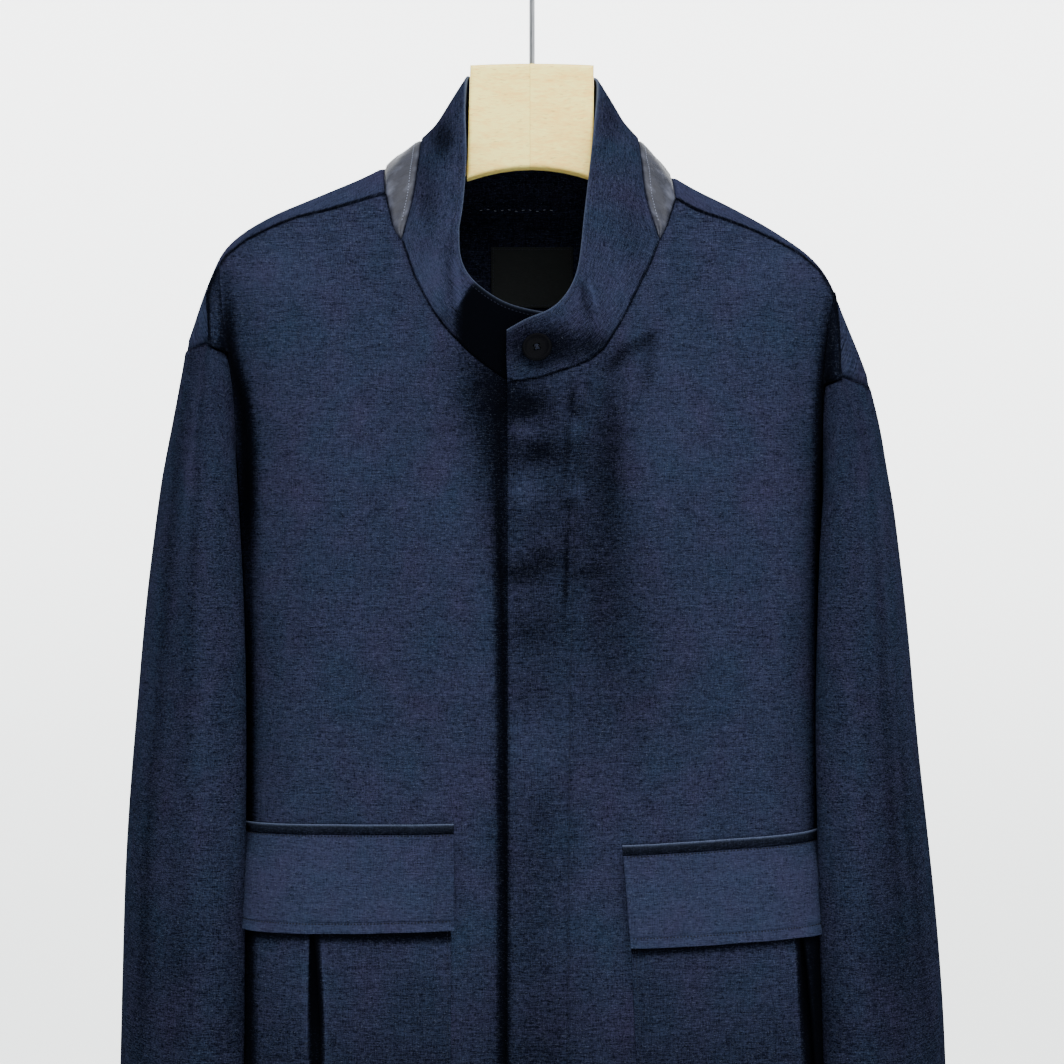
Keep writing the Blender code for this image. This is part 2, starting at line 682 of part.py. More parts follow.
def collar(model):
    base = [placed(RIGHT, spot) for spot in collar_base(RIGHT)]
    base += [placed(LEFT, spot) for spot in collar_base(LEFT)[::-1][1:]]
    top = [placed(RIGHT, spot) for spot in collar_top(RIGHT)]
    top += [placed(LEFT, spot) for spot in collar_top(LEFT)[::-1][1:]]
    grid = []
    for row in range(COLLAR_ROWS + 1):
        part = row / COLLAR_ROWS
        line = []
        for low, high in zip(base, top):
            spot = high.lerp(low, part)
            away = Vector((spot.x, spot.y, 0)).normalized()
            line.append(spot + away * COLLAR_ROLL * math.sin(math.pi * part))
        grid.append(line)
    model.sheet("collar", [trimmed(grid, bottom=ARMHOLE_TRIM)], model.linen, COLLAR_CLOTH)


def gusset(model, side, name):
    inner = [on_seam(side, "gusset_inner", k / 6) for k in range(7)]
    outer = [on_seam(side, "gusset_front", k / 2) for k in range(3)]
    outer += [over_shoulder(side, AT_GUSSET, (k + 1) / 2) for k in range(2)]
    outer += [on_seam(side, "gusset_back", (k + 1) / 2) for k in range(2)]
    grid = []
    for near, far in zip(inner[1:-1], outer[1:-1]):
        grid.append([placed(side, near.lerp(far, t)) for t in (0.0, 0.5, 1.0)])
    first = grid[0][1].lerp(placed(side, inner[0]), 0.86)
    last = grid[-1][1].lerp(placed(side, inner[-1]), 0.80)
    grid.insert(0, [first.lerp(spot, 0.12) for spot in grid[0]])
    grid.append([last.lerp(spot, 0.12) for spot in grid[-1]])
    grid = trimmed(grid, start=TOP_TRIM, end=TOP_TRIM)
    if side == LEFT:
        grid = [row[::-1] for row in grid]
    model.sheet(name, [grid], model.leather, LEATHER)


# A point of the front panel's own facets, and which way it faces
def on_front(side, part, drop):
    columns = front_columns(side)
    k = 0
    while k < len(columns) - 2 and part > columns[k + 1]:
        k += 1
    t = (part - columns[k]) / (columns[k + 1] - columns[k])
    first = body_point(side, columns[k], drop, False)
    second = body_point(side, columns[k + 1], drop, False)
    return first.lerp(second, t)


def facing(side, part, drop):
    across = body_point(side, part + 0.01, drop, False) - body_point(side, part - 0.01, drop, False)
    down = body_point(side, part, drop + 0.01, False) - body_point(side, part, drop - 0.01, False)
    return (across.cross(down) * side).normalized() * -1


def quarter_length(drop):
    return quarter_ring(drop, False)[1][-1]


def patch_columns(side, first, last, extra=()):
    inside = [part for part in front_columns(side) if first + 0.004 < part < last - 0.004]
    for spot in extra:
        inside = [part for part in inside if abs(part - spot) > 0.004]
    return sorted([first, last] + inside + list(extra))


def patch(model, side, name, columns, edges, rows, lift):
    grid = []
    for row in range(rows + 1):
        line = []
        for part in columns:
            top, bottom = edges(part)
            drop = top + (bottom - top) * row / rows
            line.append(on_front(side, part, drop) + facing(side, part, drop) * lift(part))
        grid.append(line)
    if side == LEFT:
        grid = [row[::-1] for row in grid]
    model.sheet(name, [grid], model.linen, CLOTH)


PLEAT_HALF = 0.0035


def pocket(model, side, name):
    sizes = POCKETS[side]
    whole = quarter_length(0.6)
    first = sizes["inner"] / whole
    last = (sizes["inner"] + sizes["width"]) / whole
    pleat = (sizes["inner"] + sizes["pleat"]) / whole
    slit = PLEAT_HALF / whole
    low = CLOTH + SEAM_GAP
    high = low + PATCH_RISE
    places = (pleat - 2 * slit, pleat - slit, pleat + slit, pleat + 2 * slit)

    def edges(part):
        return sizes["flap_top"] + POCKET_START, sizes["bottom"]

    def lift(part):
        rise = ease((part - first) / 0.05) * ease((last - part) / 0.05)
        if abs(part - pleat) < slit * 1.5:
            return low
        return low + (high - low) * rise

    patch(model, side, name, patch_columns(side, first, last, places), edges, 8, lift)


def flap(model, side, name):
    sizes = POCKETS[side]
    whole = quarter_length(0.5)
    first = (sizes["inner"] - FLAP_OVER) / whole
    last = (sizes["inner"] + sizes["width"] + FLAP_OVER) / whole
    away = PATCH_RISE + 2 * (CLOTH + SEAM_GAP)

    def edges(part):
        top = sizes["flap_top"] + sizes["tilt"] * (part - first) * whole
        return top, top + sizes["flap_drop"]

    def lift(part):
        return away

    patch(model, side, name, patch_columns(side, first, last), edges, 4, lift)


def button(model):
    x, y, drop = BUTTON_PLACE
    bpy.ops.mesh.primitive_cylinder_add(vertices=28, radius=BUTTON_RADIUS, depth=BUTTON_HEIGHT)
    made = bpy.context.active_object
    made.name = "collar_button"
    made.data.name = "collar_button"
    made.data.materials.append(model.horn)
    made.location = (x, y, NECK_LEVEL - drop)
    made.rotation_euler = (math.radians(BUTTON_TILT), 0, math.radians(BUTTON_TURN))
    rim = made.modifiers.new("Round rim", "BEVEL")
    rim.width = 0.0008
    rim.segments = 2
    for old in made.users_collection:
        old.objects.unlink(made)
    model.collection.objects.link(made)


def label(model):
    grid = []
    for drop in steps(LABEL_DROPS[0], LABEL_DROPS[1], 3) + [LABEL_DROPS[1]]:
        line = []
        for k in range(5):
            x = LABEL_HALF * (k / 2 - 1)
            side = LEFT if x > 0 else RIGHT
            part = abs(x) / LABEL_QUARTER
            spot = body_point(side, part, drop, True)
            inward = CLOTH / 2 + SEAM_GAP + LABEL_THICK / 2 + LABEL_CLEAR
            line.append(Vector((x, spot.y - inward, NECK_LEVEL - drop)))
        grid.append(line)
    model.sheet("neck_label", [grid], model.label, LABEL_THICK)


def neck_block(model):
    outline = bpy.data.curves.new("hanger_neck_block", "CURVE")
    outline.dimensions = "2D"
    outline.fill_mode = "BOTH"
    outline.extrude = BLOCK_DEPTH / 2 - BLOCK_EDGE
    outline.bevel_depth = BLOCK_EDGE
    outline.bevel_resolution = 2
    outline.offset = -BLOCK_EDGE
    points = []
    for k in range(9):
        part = k / 4 - 1
        points.append((BLOCK_TOP_HALF * part, -BLOCK_TOP - BLOCK_CROWN * part ** 2))
    for k in range(9):
        part = 1 - k / 4
        half = BLOCK_FOOT_HALF[LEFT if part > 0 else RIGHT]
        points.append((half * part, -BLOCK_FOOT + BLOCK_ARCH * (1 - part ** 2)))
    line = outline.splines.new("POLY")
    line.points.add(len(points) - 1)
    for spot, (x, height) in zip(line.points, points):
        spot.co = (x, height, 0, 1)
    line.use_cyclic_u = True
    made = model.add("hanger_neck_block", outline, model.wood)
    made.rotation_euler = (math.radians(90), 0, 0)
    made.location = (0, 0, NECK_LEVEL)


ARM_SIDES = 12


def arm(model, side, name):
    centre = [Vector((out, 0.0, drop)) for out, drop in (ARM_ROOT[side], ARM_NECK)]
    below = CLOTH / 2 + SEAM_GAP + ARM_HALF_HEIGHT
    for k in range(9):
        spot = on_seam(side, "ridge", ARM_START + ARM_REACH * k / 8)
        centre.append(Vector((spot.x, ARM_PLACE_Y, spot.z + below + ARM_DROOP)))
    grid = []
    for k, spot in enumerate(centre):
        ahead = centre[min(k + 1, len(centre) - 1)] - centre[max(k - 1, 0)]
        up = Vector((ahead.z, 0, -ahead.x)).normalized()
        shrink = ARM_TAPER[max(k + 3 - len(centre), 0)]
        line = []
        for j in range(ARM_SIDES):
            turn = 2 * math.pi * j / ARM_SIDES
            offset = up * math.cos(turn) * ARM_HALF_HEIGHT + Vector((0, 1, 0)) * math.sin(turn) * ARM_HALF_DEPTH
            if k == 0:
                offset = Vector((0, offset.y, -math.cos(turn) * ARM_HALF_HEIGHT))
            line.append(placed(side, spot + offset * shrink))
        grid.append(line)
    points = [spot for line in grid for spot in line]
    faces = []
    for k in range(len(grid) - 1):
        for j in range(ARM_SIDES):
            nearest = (j + 1) % ARM_SIDES
            a = k * ARM_SIDES
            b = a + ARM_SIDES
            faces.append((a + j, b + j, b + nearest, a + nearest))
    faces.append(tuple(range(ARM_SIDES)))
    faces.append(tuple(range(len(points) - 1, len(points) - ARM_SIDES - 1, -1)))
    if side == RIGHT:
        faces = [face[::-1] for face in faces]
    mesh = bpy.data.meshes.new(name)
    mesh.from_pydata(points, [], faces)
    mesh.shade_smooth()
    model.add(name, mesh, model.wood)


def hook(model):
    wire = bpy.data.curves.new("hanger_hook", "CURVE")
    wire.dimensions = "3D"
    wire.bevel_depth = ROD_RADIUS
    wire.bevel_resolution = 2
    wire.use_fill_caps = True
    middle = Vector((0, 0, -HOOK_RADIUS))
    bend = HOOK_RADIUS + ROD_RADIUS
    foot = NECK_LEVEL - BLOCK_TOP + SEAM_GAP
    points = [Vector((0, 0, foot)),
              Vector((0, 0, foot + HOOK_STEM)),
              Vector((0, 0, middle.z - HOOK_NECK_FALL - HOOK_NECK_RUN)),
              Vector((HOOK_NECK_SIDE, 0, middle.z - HOOK_NECK_FALL))]
    for k in range(17):
        turn = math.radians(HOOK_NECK_TURN + (HOOK_TIP_TURN - HOOK_NECK_TURN) * k / 16)
        points.append(middle + Vector((math.cos(turn) * bend, 0, math.sin(turn) * bend)))
    line = wire.splines.new("POLY")
    line.points.add(len(points) - 1)
    for spot, place in zip(line.points, points):
        spot.co = (*place, 1)
    model.add("hanger_hook", wire, model.steel)


def main():
    model = Model()
    hook(model)
    neck_block(model)
    back(model)
    collar(model)
    for side, word in ((RIGHT, "right"), (LEFT, "left")):
        arm(model, side, "hanger_arm_" + word)
        front(model, side, "front_" + word)
        gusset(model, side, "gusset_" + word)
        sleeve(model, side, "sleeve_" + word)
        pocket(model, side, "pocket_" + word)
        flap(model, side, "flap_" + word)
    button(model)
    label(model)


main()
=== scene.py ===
import math

import bpy
import numpy as np
from mathutils import Matrix, Vector
from mathutils.bvhtree import BVHTree
from mathutils.kdtree import KDTree


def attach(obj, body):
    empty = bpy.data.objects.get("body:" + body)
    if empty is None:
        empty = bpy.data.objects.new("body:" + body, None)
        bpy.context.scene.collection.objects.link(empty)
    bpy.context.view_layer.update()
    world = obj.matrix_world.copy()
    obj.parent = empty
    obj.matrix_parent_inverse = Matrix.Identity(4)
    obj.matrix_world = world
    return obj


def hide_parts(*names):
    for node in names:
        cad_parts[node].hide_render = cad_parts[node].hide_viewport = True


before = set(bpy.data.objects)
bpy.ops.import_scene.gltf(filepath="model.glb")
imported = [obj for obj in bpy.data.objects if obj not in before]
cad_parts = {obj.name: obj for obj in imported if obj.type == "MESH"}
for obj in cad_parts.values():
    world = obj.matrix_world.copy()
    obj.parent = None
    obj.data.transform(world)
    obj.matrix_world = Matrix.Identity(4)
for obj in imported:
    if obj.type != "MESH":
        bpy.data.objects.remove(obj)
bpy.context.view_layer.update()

right, left = -1, 1      # the wearer's own sides
print("frame loaded")

# camera, light and backdrop

photoView = {"place": (0, -2.30, -0.462), "wide": 0.745, "away": 2.2}
studio = {"sky": (0.93, 0.96, 1, 1), "world": 0.62, "wall": 3.6}
lights = {      # place, target, size, power, colour
    "keyLight": ((0.25, -2.2, 1.35), (0, 0, -0.30), (1.9, 1.2), 92, (1, 0.99, 0.97)),
    "fillLight": ((1.9, -1.8, -0.2), (0, 0, -0.5), (1.6, 1.6), 9, (0.96, 0.98, 1)),
    "topLight": ((0, -0.5, 1.6), (0, 0, -0.3), (1.8, 1.2), 44, (1, 1, 1)),
}


def newObject(name, data):
    made = bpy.data.objects.new(name, data)
    bpy.context.scene.collection.objects.link(made)
    return made


def newMesh(name, vertices, faces):
    mesh = bpy.data.meshes.new(name)
    mesh.from_pydata(vertices, [], faces)
    return mesh


def makeCamera():
    data = bpy.data.cameras.new("camera")
    data.angle = 2 * math.atan(photoView["wide"] / 2 / photoView["away"])
    camera = newObject("camera", data)
    camera.location = photoView["place"]
    camera.rotation_euler = (math.radians(90), 0, 0)
    bpy.context.scene.camera = camera


def makeLight(name, place, target, size, power, colour):
    data = bpy.data.lights.new(name, "AREA")
    data.shape = "RECTANGLE"
    data.size, data.size_y = size
    data.energy = power
    data.color = colour
    light = newObject(name, data)
    light.location = place
    light.rotation_euler = (Vector(target) - Vector(place)).to_track_quat("-Z", "Y").to_euler()


makeCamera()
for name, values in lights.items():
    makeLight(name, *values)
world = bpy.data.worlds.new("world")
world.use_nodes = True
sky = world.node_tree.nodes["Background"].inputs
sky[0].default_value, sky[1].default_value = studio["sky"], studio["world"]
bpy.context.scene.world = world


# finishes: a socket that can be used in sums, and one method for every other node

class Value:
    def __init__(self, finish, socket):
        self.finish, self.socket = finish, socket

    def math(self, operation, *others):
        return self.finish.node("ShaderNodeMath", {"operation": operation}, dict(enumerate((self, *others))))

    def clamped(self):
        settings = {"operation": "MULTIPLY", "use_clamp": True}
        return self.finish.node("ShaderNodeMath", settings, {0: self, 1: 1.0})

    def __add__(self, other):
        return self.math("ADD", other)

    def __sub__(self, other):
        return self.math("SUBTRACT", other)

    def __rsub__(self, other):
        return self.finish.node("ShaderNodeMath", {"operation": "SUBTRACT"}, {0: other, 1: self})

    def __mul__(self, other):
        return self.math("MULTIPLY", other)

    __radd__ = __add__
    __rmul__ = __mul__


class Finish:
    def __init__(self, name, **constants):
        self.material = bpy.data.materials.new(name)
        self.material.use_nodes = True
        self.tree = self.material.node_tree
        self.shader = self.tree.nodes["Principled BSDF"]
        for key, value in constants.items():
            self.shader.inputs[key.replace("_", " ")].default_value = value

    def node(self, kind, settings=None, sockets=None, output=0):
        made = self.tree.nodes.new(kind)
        for key, value in (settings or {}).items():
            setattr(made, key, value)
        for key, value in (sockets or {}).items():
            if isinstance(value, Value):
                self.tree.links.new(value.socket, made.inputs[key])
            else:
                made.inputs[key].default_value = value
        return Value(self, made.outputs[output])

    def split(self, vector):
        made = self.node("ShaderNodeSeparateXYZ", None, {0: vector})
        return [Value(self, socket) for socket in made.socket.node.outputs]

    def vector(self, x, y, z=0.0):
        return self.node("ShaderNodeCombineXYZ", None, {0: x, 1: y, 2: z})

    def noise(self, vector, scale=1.0, detail=2.0, roughness=0.5):
        return self.node("ShaderNodeTexNoise", {"noise_dimensions": "3D"},
                         {"Vector": vector, "Scale": scale, "Detail": detail, "Roughness": roughness})

    def mix(self, factor, first, second):
        colours = {0: factor, 6: paint(first), 7: paint(second)}
        return self.node("ShaderNodeMix", {"data_type": "RGBA"}, colours, 2)

    def grain(self, x, y, z, detail=2.0, roughness=0.5):
        return self.noise(self.vector(x, y, z), 1, detail, roughness)

    def attribute(self, name):
        return self.node("ShaderNodeAttribute", {"attribute_name": name}, None, 2)

    def place(self):
        return self.node("ShaderNodeTexCoord", None, None, 3)

    def feed(self, socket, value):
        self.tree.links.new(value.socket, self.shader.inputs[socket])

    def finished(self, colour, roughness, height, distance, strength):
        bump = {"Strength": strength, "Distance": distance, "Height": height}
        self.feed("Base Color", colour)
        self.feed("Roughness", roughness)
        self.feed("Normal", self.node("ShaderNodeBump", None, bump))
        return self.material


# Three numbers up to 255 become a linear colour
def paint(colour):
    if isinstance(colour, Value) or len(colour) == 4:
        return colour
    return tuple(((c / 255 + 0.055) / 1.055) ** 2.4 for c in colour) + (1.0,)


linenLook = {"deep": (5, 7, 15), "cool": (33, 45, 64), "warm": (45, 44, 67), "fleck": (88, 96, 116),
             "wornAndHighlit": (92, 103, 128), "paintedShadeDark": (1, 2, 6), "pitch": 0.00105, "bump": 0.00026}


# Plain weave with uneven threads both ways, light flecks, and paler threads where an edge rubs, which also
# serve as a painted highlight along a top fold. The shade attribute paints shade and light into the tint, and
# the deepest painted shade runs on to near black
def makeLinen(name, look, tone=0.0):
    made = Finish(name, Sheen_Weight=0.002, Sheen_Roughness=0.5, Sheen_Tint=(0.55, 0.65, 0.9, 1),
                  Specular_IOR_Level=0.0)
    uv = made.node("ShaderNodeUVMap")
    drift = made.noise(uv, 90, 2) - 0.5
    x, y, _ = made.split(uv)
    x = x + drift * 0.0012
    y = y + drift * 0.0009
    across = (x * (math.pi / look["pitch"])).math("SINE")
    along = (y * (math.pi / look["pitch"])).math("SINE")
    over = (across * along * 2.2 + 0.5).clamped()
    height = over * across.math("ABSOLUTE") + (1 - over) * along.math("ABSOLUTE")
    warp = made.grain(x * 1500, y * 330, 3.1, 2.5, 0.6)
    weft = made.grain(x * 300, y * 1500, 7.7, 2.5, 0.6)
    slub = made.grain(x * 70, y * 1100, 1.3, 1.5) * 0.6 + made.grain(x * 1100, y * 90, 5.2, 1.5) * 0.4
    hue = made.grain(x * 26, y * 19, 9.1, 3, 0.6)
    cloud = made.grain(x * 17, y * 11, 0.4, 3, 0.55)
    fleck = ((made.grain(x * 900, y * 1000, 2.2, 1) - 0.70) * 9).clamped()
    spark = ((made.grain(x * 640, y * 2100, 4.4, 1) - 0.60) * 5).clamped()
    wearAndHighlight = made.attribute("wearAndHighlight")
    shade = made.attribute("shade")
    # the tint takes painted shade and light from the shade attribute and from the tone of each copy
    tint = (0.49 + tone + shade + (warp - 0.5) * 1.2 + (weft - 0.5) * 1.6 + (slub - 0.5) * 1.1
            + (height - 0.6) * 0.35 + (cloud - 0.5) * 0.30).clamped()
    yarn = made.mix(((hue - 0.5) * 1.8 + 0.5).clamped(), look["cool"], look["warm"])
    colour = made.mix(tint, look["deep"], yarn)
    colour = made.mix(fleck * 0.3 + spark * 0.26, colour, look["fleck"])
    # painted shade: where the shade attribute is lowest the colour runs on to near black
    colour = made.mix((shade * -0.9).clamped(), colour, look["paintedShadeDark"])
    # paler threads where an edge rubs, and also a painted highlight along the top fold
    colour = made.mix((wearAndHighlight * 0.8 * (0.3 + warp)).clamped(), colour, look["wornAndHighlit"])
    return made.finished(colour, (0.78 + (weft - 0.5) * 0.4).clamped(),
                         height * 0.8 + slub * 1.2 + warp * 0.8 + weft * 0.8, look["bump"], 0.7)


leatherLook = {"base": (38, 41, 54), "light": (86, 90, 106), "deep": (13, 15, 25)}


def makeLeather(name, look):
    made = Finish(name, Specular_IOR_Level=0.22, Coat_Roughness=0.35)
    uv = made.node("ShaderNodeUVMap")
    x, y, _ = made.split(uv)
    grain = made.noise(uv, 1500, 3, 0.6)
    streak = made.grain(x * 55, y * 210, 0.7, 4, 0.62)
    cloud = made.noise(uv, 60, 3)
    colour = made.mix((streak * 1.6 - 0.35).clamped(), look["deep"], look["base"])
    colour = made.mix(((cloud - 0.5) * 2.4).clamped(), colour, look["light"])
    wearAndHighlight = made.attribute("wearAndHighlight")
    colour = made.mix((wearAndHighlight * 0.5).clamped(), colour, look["light"])
    made.feed("Coat Weight", (streak * 0.16 - 0.02).clamped())
    return made.finished(colour, (0.42 + streak * 0.3).clamped(), grain * 0.6 + streak * 1.4, 0.00035, 0.6)


woodLook = {"pale": (255, 237, 138), "grain": (250, 206, 106), "fleck": (188, 146, 70), "joint": -0.0015}


def makeWood(name, look):
    made = Finish(name, Specular_IOR_Level=0.4, Coat_Roughness=0.35, Coat_Weight=0.12)
    place = made.place()
    x, y, z = made.split(place)
    turned = (x + look["joint"] * -1).math("GREATER_THAN", 0.0)      # the two glued halves
    z = z + turned * 0.31
    wave = made.grain(x * 24, y * 24, z * 60, 3, 0.5)
    fine = made.grain(x * 190, y * 190, z * 900 + wave * 9, 3, 0.6)
    figure = made.grain(x * 45 + wave * 3, y * 45, z * 160, 2)
    tint = ((fine - 0.45) * 2.2 + (figure - 0.5) * 1.8 + turned * 0.18 + 0.14).clamped()
    colour = made.mix(tint, look["pale"], look["grain"])
    speck = ((made.grain(x * 170, y * 170, z * 1000 + wave * 8, 1) - 0.61) * 6).clamped()
    colour = made.mix(speck * 0.6, colour, look["fleck"])
    line = (1 - (x - look["joint"]).math("ABSOLUTE") * 3600).clamped()
    colour = made.mix(line * 0.6, colour, look["fleck"])
    return made.finished(colour, (0.38 + fine * 0.2).clamped(), fine * 0.6 - line * 2.0, 0.00025, 0.5)


def makeSteel(name):
    made = Finish(name, Metallic=1.0)
    x, y, z = made.split(made.place())
    brushed = made.grain(x * 900, y * 900, z * 60, 3)
    return made.finished(made.mix(brushed, (120, 122, 126), (196, 198, 200)), 0.2 + brushed * 0.22, brushed,
                         0.00008, 0.4)


def makeHorn(name):
    made = Finish(name, Specular_IOR_Level=0.008)
    place = made.place()
    cloud = made.noise(place, 160, 4, 0.6)
    return made.finished(made.mix(cloud, (2, 2, 4), (9, 10, 13)), 0.34 + cloud * 0.25,
                         made.noise(place, 900, 2), 0.00006, 0.4)


def makeLabelCloth(name):
    made = Finish(name, Specular_IOR_Level=0.1, Sheen_Weight=0.02)
    uv = made.node("ShaderNodeUVMap")
    x, y, _ = made.split(uv)
    rib = (y * (math.pi / 0.0007)).math("SINE").math("ABSOLUTE")
    yarn = made.grain(x * 300, y * 1900, 1, 2)
    return made.finished(made.mix((yarn * 0.9 + rib * 0.2 - 0.1).clamped(), (5, 7, 8), (25, 29, 30)),
                         0.6 + yarn * 0.25, rib + yarn, 0.00018, 0.7)


def makeThread(name, dark, light):
    made = Finish(name, Specular_IOR_Level=0.12, Sheen_Weight=0.02)
    place = made.place()
    twist = made.noise(place, 2600, 2)
    return made.finished(made.mix(twist, dark, light), 0.55 + twist * 0.3, twist, 0.0001, 0.5)


# The backdrop glows with painted light, brighter towards the top and dimmer towards the floor
def makeWall(name):
    made = Finish(name, Roughness=0.9, Specular_IOR_Level=0.1)
    place = made.place()
    cloud = made.noise(place, 0.8, 1)
    height = made.split(place)[2]
    shade = made.mix(((height + 1.35) * 0.56).clamped(), (0.46, 0.48, 0.475, 1), (0.96, 0.965, 0.965, 1))
    shade = made.mix(cloud * 0.3, shade, (0.82, 0.825, 0.83, 1))
    made.feed("Base Color", shade)
    made.feed("Emission Color", shade)
    made.shader.inputs["Emission Strength"].default_value = studio["wall"]
    return made.material


linen = makeLinen("linen", linenLook)
# copies of the linen: painted shade on the sleeves, painted light on the flaps, painted shade on the inner
# faces
linenPaintedShadeSleeve = makeLinen("linenPaintedShadeSleeve", linenLook, -0.17)
linenPaintedLightFlap = makeLinen("linenPaintedLightFlap", linenLook, 0.19)
linenPaintedShadeInside = makeLinen("linenPaintedShadeInside", linenLook, -0.38)
leather = makeLeather("leather", leatherLook)
wood = makeWood("wood", woodLook)
steel = makeSteel("steel")
horn = makeHorn("horn")
labelCloth = makeLabelCloth("labelCloth")
thread = makeThread("thread", (4, 6, 16), (20, 26, 44))
# darkThread is near black: painted shade for the pits the flap stitches sink into
darkThread = makeThread("darkThread", (0, 1, 5), (6, 9, 20))
paleThread = makeThread("paleThread", (70, 76, 96), (128, 134, 152))
print("finishes made")

# the garment's surfaces, from the same values as the solids.
# Seam points are in centimetres: out from the centre plane, along y, down from the neck points.

neckLevel, hemDrop, sleeveDrop = -0.195, 0.76, 0.70
torso = np.array([
    (0.00, 0.226, 0.066, 0.052, 1.9), (0.05, 0.225, 0.078, 0.066, 2), (0.08, 0.223, 0.084, 0.075, 2.05),
    (0.12, 0.219, 0.089, 0.085, 2.15), (0.16, 0.216, 0.093, 0.093, 2.3), (0.20, 0.213, 0.096, 0.099, 2.5),
    (0.26, 0.210, 0.099, 0.104, 2.8), (0.34, 0.2075, 0.101, 0.108, 3), (0.45, 0.208, 0.103, 0.110, 3.2),
    (0.60, 0.210, 0.105, 0.112, 3.2), (0.76, 0.213, 0.107, 0.113, 3.1)])
frontFolds = ((0.30, 0.050, 0.0022, 0.24), (0.52, 0.060, -0.0030, 0.30), (0.74, 0.050, 0.0025, 0.40))
backFolds = ((0.18, 0.060, -0.0040, 0.22), (0.42, 0.060, 0.0050, 0.20), (0.66, 0.070, -0.0060, 0.26),
             (0.86, 0.040, 0.0040, 0.42))
atApex, atGusset, atTip, atDropEnd, atBackApex = 0.345, 0.385, 0.80, 0.86, 0.32
settle, frontBend, backBend = 0.11, 0.9, 0.62
frontStart = {right: -0.073, left: -0.064}
frontSpan = 0.2685       # the front's quarter of the ring, in metres
backSpan = 0.280
lapStep = 0.0045
seamAngle, valleyAngle, underarmAngle, backValleyAngle = 48, 100, 180, 262
dropBulge, seamStep, sleeveClear = 0.008, 0.0004, 0.0080

